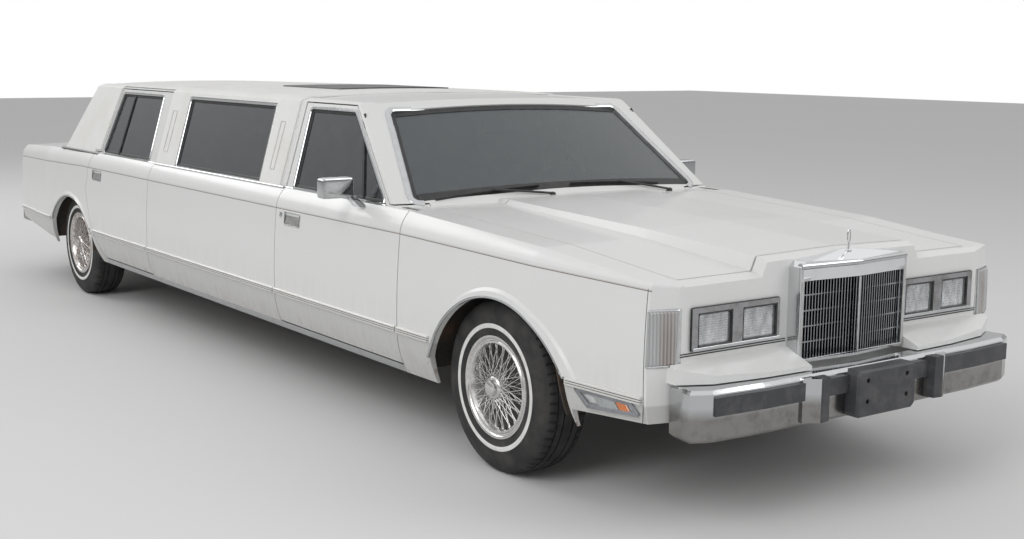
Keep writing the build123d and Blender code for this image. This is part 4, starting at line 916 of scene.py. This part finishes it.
def fluted_pane(y_range):
    """The glass: x is the face plus a crown of (1 - a^4)(1 - b^4), plus waves that fade towards the edge."""
    y, z, a, b = spread(y_range, LAMP_Z, 72, 28)
    dome = (1 - a ** 4) * (1 - b ** 4)
    flutes = FLUTE_DEPTH * np.sqrt(dome) * np.abs(np.sin(FLUTES * np.pi * a / 2))
    return at(LAMP_FACE_X + PANE_CROWN * dome + flutes, y, z), False, False


def across_car(x, outline, side=1):
    """An outline of (y, z) pairs on the upright plane at x."""
    return at(x, side * outline[:, 0], outline[:, 1])


# The bowl's bright and dark patches are painted reflection
reflector = finish("silvered_bowl", "lamp_clear",
                   lambda p: painted_bowl_reflection(p).mix((0.20, 0.21, 0.22), (0.90, 0.91, 0.92)),
                   dulled(0.12, 0.15), Metallic=1.0)
fluted_glass = finish("fluted_glass", "lamp_clear", filmed((0.66, 0.69, 0.70), (0.56, 0.56, 0.54)),
                      dulled(0.05, 0.1), lambda p: bands(p, "Z", 34.0, 2.0), 0.6, Alpha=0.10, Coat_Weight=1.0)
for word, side in SIDES:
    bowls, panes, gaskets = [], [], []
    for inner, outer in LAMPS_Y:
        ring = across_car(LAMP_FACE_X, rounded(rectangle((inner, outer), LAMP_Z), LAMP_CORNER), side)
        middle = at(0, side * (inner + outer) / 2, sum(LAMP_Z) / 2)
        gaskets.append(sweep(ring, GASKET * (-side, 1), (1, 0, 0), True))
        bowls.append(bowl(ring, middle))
        bowls.append(pebble(middle + (3.462, 0, -0.004), (0.008, 0.014, 0.012), 0.8, (10, 16)))
        panes.append(fluted_pane((side * inner, side * outer)))
    make(f"headlamp_bowls_{word}", bowls, reflector, stands_for="headlamps")
    make(f"headlamp_glass_{word}", panes, fluted_glass)
    make(f"headlamp_gaskets_{word}", gaskets, black_rubber)
    # The bezel's bright lower sill, its dark outer line and the double line above the ledge
    sill = at(SILL_X, side * np.linspace(*SILL_Y, 6), SILL_Z)
    make(f"bezel_sill_{word}", [sweep(sill, SILL_PROFILE, (1, 0, 0))], chrome)
    ring = across_car(BEZEL_X, rounded(rectangle(BEZEL_Y, BEZEL_Z), 0.006), side)
    make(f"bezel_line_{word}", [tube(ring, 0.0026, (1, 0, 0), True)], black_rubber)
    lines = [tube(at(LINE_X, side * np.linspace(*LINE_Y, 8), z), 0.0021, (1, 0, 0), steps=6) for z in LINES_Z]
    make(f"panel_lines_{word}", lines, black_rubber)
print("headlamps", 2 * len(LAMPS_Y))

# %% [markdown]
# The corner lamp wraps round the chamfer of the nose. Its lens has upright ribs, so its depth is a wave of
# the distance round the corner, and the bulb behind it shows as a brown shade in the middle.

# %% Corner lamps
CORNER_OUT = unit(np.array([0.100, 0.034]))
CORNER_Z = (0.592, 0.780)
CORNER_REAR_X, CORNER_DEPTH = 3.434, 0.036
RIBS = 9


def on_corner(s, z, side, lift):
    """Points of the nose's chamfer: s goes from its rear edge, 0, to its front edge, 1."""
    x = CORNER_REAR_X + CORNER_DEPTH * s
    return at(x + lift * CORNER_OUT[0], side * (side_y(x, z) + lift * CORNER_OUT[1]), z)


def corner_lens_colour(place):
    """Clear at the ends, brown where the bulb is, and a painted highlight, a light line, on each rib."""
    across = abs(axis(place, 1))
    upper = axis(place, 2).ramp(0.70, 0.77)
    bulb = across.ramp(0.800, 0.835) * (1 - across.ramp(0.855, 0.885)) * (1 - upper * 0.4)
    clear = (bulb * 0.85).mix((0.34, 0.35, 0.355), (0.17, 0.12, 0.095))
    # The light line on each rib is a painted highlight
    return (bands(place, "Y", 26.0) * 0.35).mix(clear, (0.72, 0.72, 0.71))


ribbed_lens = finish("ribbed_lens", "lamp_clear", corner_lens_colour, 0.16, grain(150, 2), 0.08,
                     Metallic=0.25, Coat_Weight=1.0)
s, z = np.linspace(0, 1, 90)[:, None], np.linspace(*CORNER_Z, 24)[None, :]
# 0 at the lens's edge, and 1 from 6 % of its width and 6 mm of its height inwards
edge = (np.minimum(1, np.minimum(s, 1 - s) / 0.06)
        * np.minimum(1, np.minimum(z - CORNER_Z[0], CORNER_Z[1] - z) / 0.006))
lens_lift = 0.0005 + 0.007 * np.sqrt(np.clip(edge, 0, 1)) + 0.0014 * np.abs(np.sin(RIBS * np.pi * s)) * edge
corner_frame = rounded(rectangle((-0.04, 1.0), CORNER_Z), 0.004)
# The side marker sits under the side moulding, and its front end slopes
MARKER_TOP_Z = 0.4585
MARKER = rounded([(3.091, MARKER_TOP_Z), (3.369, MARKER_TOP_Z), (3.410, 0.421), (3.160, 0.403)], 0.006)
MARKER_LIP = rounded([(-0.011, -0.003), (0.003, -0.003), (0.003, 0.006), (-0.011, 0.003)], 0.002)
# The lens's top and foot: rear end, front end
MARKER_TOP = np.array([(3.105, 0.4565), (3.383, 0.4565)])
MARKER_FOOT = np.array([(3.160, 0.406), (3.410, 0.424)])
marker_frame = finish("marker_frame", "bright_trim", filmed((0.30, 0.31, 0.33), (0.20, 0.20, 0.20)), 0.42,
                      grain(200), 0.2, Metallic=0.6)
# part, share of the length where it starts, where it ends, colour, shade
MARKER_PARTS = [("clear", 0.24, 0.62, (0.34, 0.36, 0.36), (0.22, 0.22, 0.21)),
                ("amber", 0.64, 0.84, (0.62, 0.17, 0.03), (0.40, 0.10, 0.03))]
MARKER_LENSES = [(part, start, end, finish(f"marker_{part}", "lamp_clear", filmed(colour, shade), 0.2,
                                           grain(120, 2), 0.1, Coat_Weight=1.0))
                 for part, start, end, colour, shade in MARKER_PARTS]


def marker_lens(start, end, side):
    """A ribbed sheet between the marker's top and foot, which crowns and meets the frame at its edges."""
    a, b, across, up = spread((start, end), (0.10, 0.90), 40, 14)
    top, foot = (line[0] + (line[1] - line[0]) * a[..., None] for line in (MARKER_TOP, MARKER_FOOT))
    x, z = np.moveaxis(foot + (top - foot) * b[..., None], -1, 0)
    rise = (1 - (2 * b - 1) ** 6) * (1 - across ** 6)
    return on_side(x, z, side, 0.0005 + 0.0035 * rise + 0.0006 * np.abs(np.sin(60 * a))), False, False


for word, side in SIDES:
    make(f"corner_lens_{word}", [(on_corner(s, z, side, lens_lift), False, False)], ribbed_lens)
    ring = on_corner(corner_frame[:, 0], corner_frame[:, 1], side, 0.002)
    outward = (CORNER_OUT[0], side * CORNER_OUT[1], 0)
    make(f"corner_lamp_frame_{word}", [tube(ring, 0.0048, outward, True)], chrome)
    ring = on_side(MARKER[:, 0], MARKER[:, 1], side, 0.001)
    make(f"side_marker_frame_{word}", [sweep(ring, MARKER_LIP * (side, 1), (0, side, 0), True)], marker_frame)
    for part, start, end, material in MARKER_LENSES:
        make(f"side_marker_{part}_{word}", [marker_lens(start, end, side)], material)
print("corner lamps and side markers")

# %% [markdown]
# The grille's shell is a chrome roll over the top, half-round columns at the sides and a brushed inner frame.
# The bars themselves are in the solid model; here they get painted shade, darker inside the opening, and a
# black sheet of painted shade behind them.

# %% Grille dress
GRILLE_FACE_X = 3.551
GRILLE_SWEEP = 0.085
GRILLE_OPENING = ((-0.268, 0.268), (0.556, 0.836))
ROLL_HALF, ROLL_Z = 0.281, 0.886
COLUMN_Y = 0.2765
FORWARD = (1, 0, 0)


def grille_x(y):
    """The grille's front, swept back to each side: the face less the sweep times the size of y."""
    return GRILLE_FACE_X - GRILLE_SWEEP * np.abs(y)


def in_opening(place):
    """1 inside the grille's opening and 0 on the shell round it."""
    return (abs(axis(place, 1)) < 0.2675) * (axis(place, 2) < 0.8355) * (axis(place, 2) > 0.5565)


# Inside the opening the bars are painted darker: painted shade of the recess
bar_metal = finish("grille_plating_with_painted_shade", "bright_trim",
                   lambda p: in_opening(p).mix((0.72, 0.73, 0.74), (0.30, 0.31, 0.33)), dulled(0.12, 0.15),
                   grain(300), 0.05, Metallic=1.0)
bezel_metal = finish("bezel_metal", "bright_trim", filmed((0.36, 0.36, 0.37), (0.24, 0.23, 0.22)),
                     dulled(0.22, 0.2), grain(260, 2), 0.1, Metallic=1.0)
brushed = finish("brushed_frame", "bright_trim", filmed((0.60, 0.60, 0.60), (0.40, 0.39, 0.37)), 0.34,
                 lambda p: noise(p, 300, 2, 0.5, (0.1, 0.1, 1)), 0.15, Metallic=1.0)
# A near-black sheet behind the bars, where there is only shade: painted shade
grille_shade_sheet = finish("painted_shade_behind_grille", "dark_strip",
                   mottled((0.004, 0.004, 0.004), (0.03, 0.028, 0.026), 30, 4), 0.9, grain(300), 0.4)
repaint("grille", bar_metal)
repaint("headlamp_bezels", bezel_metal)
y = np.linspace(-ROLL_HALF, ROLL_HALF, 41)
make("grille_roll", [tube(at(grille_x(y) - 0.008, y, ROLL_Z), 0.0125, FORWARD, steps=20)], chrome)
for word, side in SIDES:
    column = at(grille_x(0.277) - 0.007, side * COLUMN_Y, np.linspace(0.552, 0.884, 12))
    make(f"grille_column_{word}", [tube(column, 0.009, FORWARD, steps=16)], chrome)
opening = rounded(rectangle(*GRILLE_OPENING), 0.004)
lip = rounded([(-0.012, -0.004), (0.001, -0.004), (0.001, 0.0015), (-0.012, 0.003)], 0.0015)
inner_ring = across_car(grille_x(opening[:, 0]), opening)
make("grille_inner_frame", [sweep(inner_ring, lip * (-1, 1), FORWARD, True)], brushed)
bar = at(grille_x(0) - 0.001, 0, np.linspace(0.558, 0.834, 8))
make("grille_middle_bar", [tube(bar, 0.0042, FORWARD)], chrome)
make("shade_sheet_behind_grille", [pebble((3.4735, 0, 0.696), (0.0025, 0.266, 0.139), 0.15, (14, 40))], grille_shade_sheet)
print("grille dress")

# %% Hood ornament
# A slim open loop on a short stem
ORNAMENT_X = 3.489
LOOP_MIDDLE_Z, LOOP_HALF_WIDTH, LOOP_HALF_HEIGHT = 0.9715, 0.0075, 0.026
turn = round_turn(40)
loop = at(ORNAMENT_X, LOOP_HALF_WIDTH * np.sin(turn), LOOP_MIDDLE_Z + LOOP_HALF_HEIGHT * np.cos(turn))
stem = at(ORNAMENT_X, 0, np.linspace(0.918, 0.947, 6))
make("ornament_loop", [tube(loop, 0.0021, FORWARD, True), tube(stem, 0.0034, FORWARD, steps=10),
                       pebble((ORNAMENT_X, 0, 0.921), (0.010, 0.012, 0.005), 0.8, (10, 20))], chrome,
     stands_for="hood_ornament")
print("hood ornament")

# %% [markdown]
# Door handles sit in shallow pockets: a bright frame, a dark hollow and a flap that is pulled outwards. The
# front doors have a square key button behind the handle. All of them follow the body's side by its formula.

# %% Door handles
HANDLE_Z = (0.803, 0.863)
FLAP_Z, HOLLOW_Z = (0.808, 0.846), (0.806, 0.861)
HANDLES = [("front", 0.896, 1.050), ("rear", -1.784, -1.630)]
# Key button: x range and z range of its frame, then of its face
KEY_FRAME, KEY_FACE = ((0.846, 0.866), (0.834, 0.856)), ((0.848, 0.864), (0.836, 0.854))
FRAME_LIP = rounded(rectangle((-0.0035, 0.0035), (-0.003, 0.003)), 0.002)
FLAP_SLOPE = np.linspace(0.002, -0.0035, 10)
hollow_shade = finish("handle_hollow", "dark_strip",
                      mottled((0.015, 0.015, 0.015), (0.06, 0.055, 0.05), 60, 3), 0.7, grain(300, 2), 0.2)


def side_patch(x_range, z_range, side, lift):
    """A sheet over the body's side between two x and two z, lifted by a height that can vary with z."""
    x, z, _, _ = spread(x_range, z_range, 14, 10)
    return on_side(x, z, side, lift), False, False


def side_frame(x_range, z_range, side, radius, size=1.0):
    """A lip round a rectangle on the body's side."""
    x, z = rounded(rectangle(x_range, z_range), radius).T
    return sweep(on_side(x, z, side), FRAME_LIP * size, (0, side, 0), True)


for word, side in SIDES:
    for end_name, x0, x1 in HANDLES:
        body = f"door_{end_name}_{word}"
        frames = [side_frame((x0, x1), HANDLE_Z, side, 0.006)]
        flap = [side_patch((x0 + 0.008, x1 - 0.008), FLAP_Z, side, FLAP_SLOPE)]
        if end_name == "front":
            frames.append(side_frame(*KEY_FRAME, side, 0.003, 0.7))
            flap.append(side_patch(*KEY_FACE, side, 0.0016))
        hollow = [side_patch((x0 + 0.003, x1 - 0.003), HOLLOW_Z, side, -0.0062)]
        make(f"handle_frame_{end_name}_{word}", frames, chrome, body)
        make(f"handle_flap_{end_name}_{word}", flap, brushed, body)
        make(f"handle_hollow_{end_name}_{word}", hollow, hollow_shade, body)
print("door handles", 2 * len(HANDLES))

# %% [markdown]
# Inside, each door has a trim card with a padded arm rest and a pull. The card follows the door's inner wall,
# which is the body's side moved in by the wall's thickness, and its face swells a little towards the middle.

# %% Door cards
WALL = 0.058
CARD_Z = (0.375, 0.915)
SEAMS_Z = (0.765, 0.470)
SEAM_WIDTH, SEAM_DEPTH = 0.006, 0.004
CARDS = [("front", 0.865, 1.715), ("rear", -1.700, -0.915)]
card_vinyl = finish("door_card_vinyl", "interior_plastic",
                    mottled((0.21, 0.21, 0.215), (0.27, 0.265, 0.26), 12, 4), 0.6, vinyl_grain, 0.3, 0.0005)


def door_card(x0, x1, side):
    """A card on the door's wall: it swells by the root of (1 - a^8)(1 - b^8), less a dent along each seam."""
    x, z, a, b = spread((x0, x1), CARD_Z, 60, 40)
    swell = 0.002 + 0.009 * np.sqrt((1 - a ** 8) * (1 - b ** 8))
    dents = sum(SEAM_DEPTH * np.exp(-((z - seam_z) / SEAM_WIDTH) ** 2) for seam_z in SEAMS_Z)
    return on_side(x, z, side, dents - swell - WALL), False, False


for word, side in SIDES:
    for end_name, x0, x1 in CARDS:
        body = f"door_{end_name}_{word}"
        rest = pebble(((x0 + x1) / 2, side * 0.878, 0.640), (0.230, 0.026, 0.027), 0.45, (20, 48))
        lever = pebble((x1 - 0.130, side * 0.886, 0.700), (0.045, 0.006, 0.011), 0.5, (14, 32))
        make(f"door_card_{end_name}_{word}", [door_card(x0, x1, side), rest], card_vinyl, body)
        make(f"door_pull_{end_name}_{word}", [lever], chrome, body)
print("door cards", 2 * len(CARDS))

# %% [markdown]
# The door mirror is a chrome box with soft edges on a slanting foot. The box is a squared-off sphere, and the
# foot is a loft between two rounded squares whose centres move along a line. The glass faces the rear.

# %% Door mirrors
MIRROR_Y, MIRROR_Z = 1.010, 1.030
MIRROR_X, MIRROR_GLASS_X = 1.508, 1.4812
mirror_glass = finish("mirror_glass", "bright_trim", filmed((0.74, 0.76, 0.77), (0.55, 0.56, 0.56)),
                      dulled(0.02, 0.06), Metallic=1.0)


def mirror_foot(side):
    """The loft: a rounded square that grows across and shrinks along, from the box down to the door."""
    t, turn = np.linspace(0, 1, 9)[:, None], round_turn(28)
    middle = (1 - t) * (1.504, side * 0.944, 0.992) + t * (1.583, side * 0.930, 0.953)
    along = (0.026 - 0.003 * t) * power_wave(np.cos(turn), 0.6)
    across = (0.024 + 0.004 * t) * power_wave(np.sin(turn), 0.6)
    return middle[:, None] + at(along, across, along * -0.12), False, True


for word, side in SIDES:
    case = pebble((MIRROR_X, side * MIRROR_Y, MIRROR_Z), (0.0275, 0.080, 0.045), 0.22, (28, 56))
    glass = pebble((MIRROR_GLASS_X, side * MIRROR_Y, MIRROR_Z), (0.0025, 0.071, 0.036), 0.2, (14, 40))
    make(f"door_mirror_{word}", [case, mirror_foot(side)], chrome, f"door_front_{word}", f"mirror_{word}")
    make(f"door_mirror_glass_{word}", [glass], mirror_glass, f"door_front_{word}")
print("door mirrors 2")

# %% [markdown]
# Slim raised frames stand on the padded pillars, a dark welt closes the foot of the padded cover, and two
# wipers rest at the foot of the windscreen.

# %% Pillar frames, cover's foot and wipers
PILLARS = [("behind_front_door", 0.600, 0.645), ("ahead_of_rear_door", -0.770, -0.712)]
PILLAR_Z = (1.040, 1.270)
COVER_FOOT_X, COVER_FOOT_Z = (-2.500, -1.800), 0.9575
# wiper, the blade's ends across the glass, the pivot's (u, v)
WIPERS = [("right", (-0.70, -0.16), (-0.12, 0.048)), ("left", (0.02, 0.56), (0.60, 0.052))]
BLADE_PROFILE = [(-0.004, -0.006), (0.004, -0.006), (0.002, 0.007), (-0.002, 0.007)]
ARM_PROFILE = [(-0.005, -0.003), (0.005, -0.003), (0.004, 0.003), (-0.004, 0.003)]
pillar_paint = finish("pillar_trim", "vinyl_cover", filmed((0.62, 0.61, 0.58), (0.45, 0.43, 0.39)), 0.35,
                      grain(200, 2), 0.05, Coat_Weight=0.3)
for word, side in SIDES:
    for name, x0, x1 in PILLARS:
        ring = on_glasshouse(rounded(rectangle((x0, x1), PILLAR_Z), 0.006), side, COVER_LIFT)
        make(f"pillar_frame_{name}_{word}", [tube(ring, 0.0032, glasshouse_out(side), True)], pillar_paint)
    path = at(np.linspace(*COVER_FOOT_X, 12), side * (GLASS_FOOT_Y + 0.012), COVER_FOOT_Z)
    make(f"cover_foot_{word}", [tube(path, 0.0035, glasshouse_out(side))], black_rubber)
for word, ends, pivot in WIPERS:
    u = np.linspace(*ends, 16)
    blade_line = np.stack([u, 0.104 + 0.008 * np.cos(u * 3)], axis=-1)
    points, facing = on_bow(SCREEN, blade_line)
    blade = sweep(points + facing * 0.0045, BLADE_PROFILE, facing)
    points, facing = on_bow(SCREEN, np.linspace(pivot, blade_line[8], 10))
    arm = sweep(points + facing * 0.014, ARM_PROFILE, facing)
    knob = pebble(points[0] + facing[0] * 0.008, (0.013, 0.013, 0.011), 0.8, (10, 20))
    make(f"wiper_{word}", [blade, arm, knob], black_rubber)
print("pillar frames and wipers", len(WIPERS))

# %% [markdown]
# The tail lamps are ribbed red lenses in bright frames. The photograph doesn't show the rear, so they stay
# simple.

# %% Tail lamps
TAIL_LENS_X, TAIL_FRAME_X = -3.470, -3.471
TAIL_LENS = ((0.720, 0.842), (0.573, 0.847))
TAIL_FRAME = rounded(rectangle((0.717, 0.845), (0.570, 0.850)), 0.008)
TAIL_RIBS = 14
y, z, a, b = spread(*TAIL_LENS, 30, 120)
dome = np.sqrt((1 - a ** 6) * (1 - b ** 6))
lens_x = TAIL_LENS_X - 0.006 * dome - 0.0016 * dome * np.abs(np.sin(TAIL_RIBS * np.pi * b))
for word, side in SIDES:
    make(f"tail_lens_{word}", [(at(lens_x, side * y, z), False, False)], lens_red)
    ring = across_car(TAIL_FRAME_X, TAIL_FRAME, side)
    make(f"tail_lamp_frame_{word}", [tube(ring, 0.005, (-1, 0, 0), True)], chrome)
print("tail lamps 2")

# %% [markdown]
# The seats are padded: each cushion starts as a squared-off sphere that is a little too small, is remeshed
# into even squares, and is then blown up as cloth, so its faces crown and its edges stay drawn in. Sewn
# channels come last, as dents along evenly spaced lines, because remeshing would wipe them out.

# %% Seats
PAD_VOXEL = 0.018
PAD_CAP = 0.024
PAD_SHRINK = 0.012
PAD_PRESSURE = 4
PAD_FRAMES = 20
CHANNEL_PITCH = 0.092
CHANNEL_DEPTH = 0.007
CHANNEL_WIDTH = 0.012
# pad, middle on the left side, half sizes, lean, the node that it stands for
PAD_TABLE = [
    ("front_cushion", (1.085, 0.370, 0.452), (0.245, 0.275, 0.125), 0.0, "front_seats"),
    ("front_back", (0.778, 0.370, 0.805), (0.062, 0.272, 0.250), -0.22, "front_seats"),
    ("head_rest", (0.716, 0.370, 1.122), (0.048, 0.118, 0.074), -0.15, "front_seats"),
    ("jump_cushion", (0.245, 0.392, 0.468), (0.200, 0.380, 0.144), 0.0, "rear_seats"),
    ("jump_back", (0.540, 0.392, 0.755), (0.052, 0.380, 0.135), 0.12, "rear_seats"),
    ("rear_cushion", (-1.565, 0.392, 0.470), (0.235, 0.380, 0.144), 0.05, "rear_seats"),
    ("rear_back", (-1.880, 0.312, 0.832), (0.060, 0.308, 0.210), -0.20, "rear_seats"),
    ("rear_bolster", (-1.915, 0.705, 0.915), (0.055, 0.078, 0.125), -0.20, "rear_seats"),
]


def pad(name, centre, half, tilt, node):
    """A cushion: a rounded box, turned about y: x' = x cos t + z sin t and z' = z cos t - x sin t."""
    grid, rows_closed, columns_closed = pebble((0, 0, 0), np.array(half) - PAD_SHRINK, 0.42, (30, 60))
    cos, sin = math.cos(tilt), math.sin(tilt)
    turned = grid @ np.array([[cos, 0, -sin], [0, 1, 0], [sin, 0, cos]]) + np.array(centre)
    piece = make(name, [(turned, rows_closed, columns_closed)], cloth, stands_for=node)
    remesh = piece.modifiers.new("even_squares", "REMESH")
    remesh.mode, remesh.voxel_size = "VOXEL", PAD_VOXEL
    even = bpy.data.meshes.new_from_object(piece.evaluated_get(bpy.context.evaluated_depsgraph_get()))
    piece.modifiers.clear()
    piece.data = even
    return piece


def coordinates(vertices, what="co"):
    """All the vertices' places, or their normals, as one array."""
    values = np.empty(len(vertices) * 3, dtype=np.float32)
    vertices.foreach_get(what, values)
    return values.reshape(-1, 3)


PADS = [pad(f"{name}_{word}", (x, side * y, z), half, tilt, node)
        for word, side in SIDES for name, (x, y, z), half, tilt, node in PAD_TABLE]
rest_places = [coordinates(piece.data.vertices) for piece in PADS]
for piece in PADS:
    swell = piece.modifiers.new("filling", "CLOTH")
    swell.settings.use_pressure = True
    swell.settings.uniform_pressure_force = PAD_PRESSURE
    swell.settings.effector_weights.gravity = 0
    swell.point_cache.frame_end = PAD_FRAMES
for number in range(1, PAD_FRAMES + 1):
    scene.frame_set(number)
graph = bpy.context.evaluated_depsgraph_get()
swollen = [coordinates(piece.evaluated_get(graph).data.vertices) for piece in PADS]
for piece, rest, blown in zip(PADS, rest_places, swollen):
    piece.modifiers.clear()
    move = blown - rest
    length = np.linalg.norm(move, axis=-1, keepdims=True)
    held = move * np.minimum(1, PAD_CAP / (length + 1e-9))
    piece.data.vertices.foreach_set("co", (rest + held).ravel())
    piece.data.update()
scene.frame_set(1)
print("largest swelling", round(float(max(np.abs(b - r).max() for r, b in zip(rest_places, swollen))), 4))
for piece in PADS:
    places, normals = coordinates(piece.data.vertices), coordinates(piece.data.vertices, "normal")
    middle = places[:, 1].mean()
    off = (places[:, 1] - middle + CHANNEL_PITCH / 2) % CHANNEL_PITCH - CHANNEL_PITCH / 2
    dent = CHANNEL_DEPTH * np.exp(-(off / CHANNEL_WIDTH) ** 2) * (np.abs(normals[:, 1]) < 0.5)
    piece.data.vertices.foreach_set("co", (places - normals * dent[:, None]).ravel())
    piece.data.update()
    piece.data.shade_smooth()
    smooth = piece.modifiers.new("smooth", "SUBSURF")
    smooth.levels = smooth.render_levels = 1
print("pads", len(PADS), "points", sum(len(piece.data.vertices) for piece in PADS))

# %% [markdown]
# The steering wheel is a ring swept round its leaning axle, with two broad spokes and a padded boss. An inner
# mirror hangs under the windscreen's head.

# %% Steering wheel and inner mirror
WHEEL_MIDDLE = np.array([1.270, 0.380, 0.905])
COLUMN_AXIS = unit(np.array([0.93, 0, -0.37]))
WHEEL_UP = unit(np.array([0.37, 0, 0.93]))
WHEEL_SIDE = np.array([0, 1.0, 0])
WHEEL_RADIUS = 0.178
SPOKE_PROFILE = rounded(rectangle((-0.020, 0.020), (-0.005, 0.005)), 0.004)
SHARES = np.linspace(0, 1, 12)[:, None]


def spoke(way):
    """One spoke: it runs out from the boss and comes up towards the driver on its way."""
    line = WHEEL_MIDDLE + way * (0.03 + 0.145 * SHARES) * WHEEL_SIDE + COLUMN_AXIS * 0.022 * (1 - SHARES)
    return sweep(line - WHEEL_UP * 0.02, SPOKE_PROFILE, -COLUMN_AXIS)


turn = round_turn(72)[:, None]
ring = WHEEL_MIDDLE + WHEEL_RADIUS * (np.cos(turn) * WHEEL_SIDE + np.sin(turn) * WHEEL_UP)
grip = tube(ring, 0.0115, -COLUMN_AXIS, True, steps=12)
stub = tube(WHEEL_MIDDLE + COLUMN_AXIS * (0.02 + 0.06 * SHARES), 0.026, WHEEL_UP, steps=20)
boss_grid = pebble((0, 0, 0), (0.024, 0.075, 0.052), 0.5, (20, 40))[0]
basis = np.array([COLUMN_AXIS, WHEEL_SIDE, WHEEL_UP])
boss = (boss_grid @ basis + WHEEL_MIDDLE + COLUMN_AXIS * 0.015, False, True)
wheel_parts = [grip, spoke(-1), spoke(1), stub, boss]
make("steering_wheel_rim", wheel_parts, cabin_plastic, stands_for="steering_wheel")
mirror_case = pebble((1.330, 0, 1.268), (0.010, 0.125, 0.030), 0.35, (16, 40))
mirror_arm = tube(np.linspace((1.335, 0, 1.290), (1.372, 0, 1.345), 6), 0.006, (0, 1, 0))
make("inner_mirror", [mirror_case, mirror_arm], cabin_plastic)
print("steering wheel and inner mirror")

# %% [markdown]
# The studio: a pale floor that keeps the shadow, a white sky for what the camera and mirrors see, and three
# soft lamps that are weak enough for the white paint to keep its shape.

# %% Floor, sky and lamps
FLOOR_HALF = 40
LAMP_TARGET = Vector((0, 0, 0.6))
# lamp, place, size, power
LAMPS = [("key_lamp", (5, -9, 7), 6, 400), ("fill_lamp", (9, 5, 6), 6, 230),
         ("back_lamp", (-9, -4, 7), 6, 260)]
floor_mesh = bpy.data.meshes.new("studio_floor")
floor_corners = [(x, y, 0) for x, y in rectangle((-FLOOR_HALF, FLOOR_HALF), (-FLOOR_HALF, FLOOR_HALF))]
floor_mesh.from_pydata(floor_corners, [], [(0, 1, 2, 3)])
floor_grey = mottled((0.74, 0.74, 0.74), (0.76, 0.76, 0.76), 0.4, 2)
floor_mesh.materials.append(finish("studio_floor", None, floor_grey, 0.9))
studio_floor = bpy.data.objects.new("studio_floor", floor_mesh)
scene.collection.objects.link(studio_floor)

scene.world = bpy.data.worlds.new("studio_sky")
scene.world.use_nodes = True
sky = Wire(scene.world.node_tree)
background = sky.tree.nodes["Background"]
rays = sky.node("ShaderNodeLightPath").socket.node.outputs
seen, through, mirrored = (Wire(sky.tree, rays[f"Is {kind} Ray"])
                           for kind in ("Camera", "Transmission", "Glossy"))
# Mirrors see the same white sky, with a darker belt round the horizon, as a hall's walls give
belt = 1 - axis(sky.node("ShaderNodeTexCoord", out=0), 2).ramp(0.04, 0.42)
sky.plug(background.inputs["Color"], (1, 1, 1))
sky.plug(background.inputs["Strength"],
         0.50 + sky.math("MAXIMUM", seen, through) * 0.50 + mirrored * (0.50 - belt * 0.74))
scene.view_settings.view_transform = "Standard"
for name, spot, size, power in LAMPS:
    light = bpy.data.lights.new(name, "AREA")
    light.size, light.energy = size, power
    lamp = bpy.data.objects.new(name, light)
    scene.collection.objects.link(lamp)
    lamp.location = spot
    lamp.rotation_euler = (LAMP_TARGET - Vector(spot)).to_track_quat("-Z", "Y").to_euler()
print("lamps", len(LAMPS))
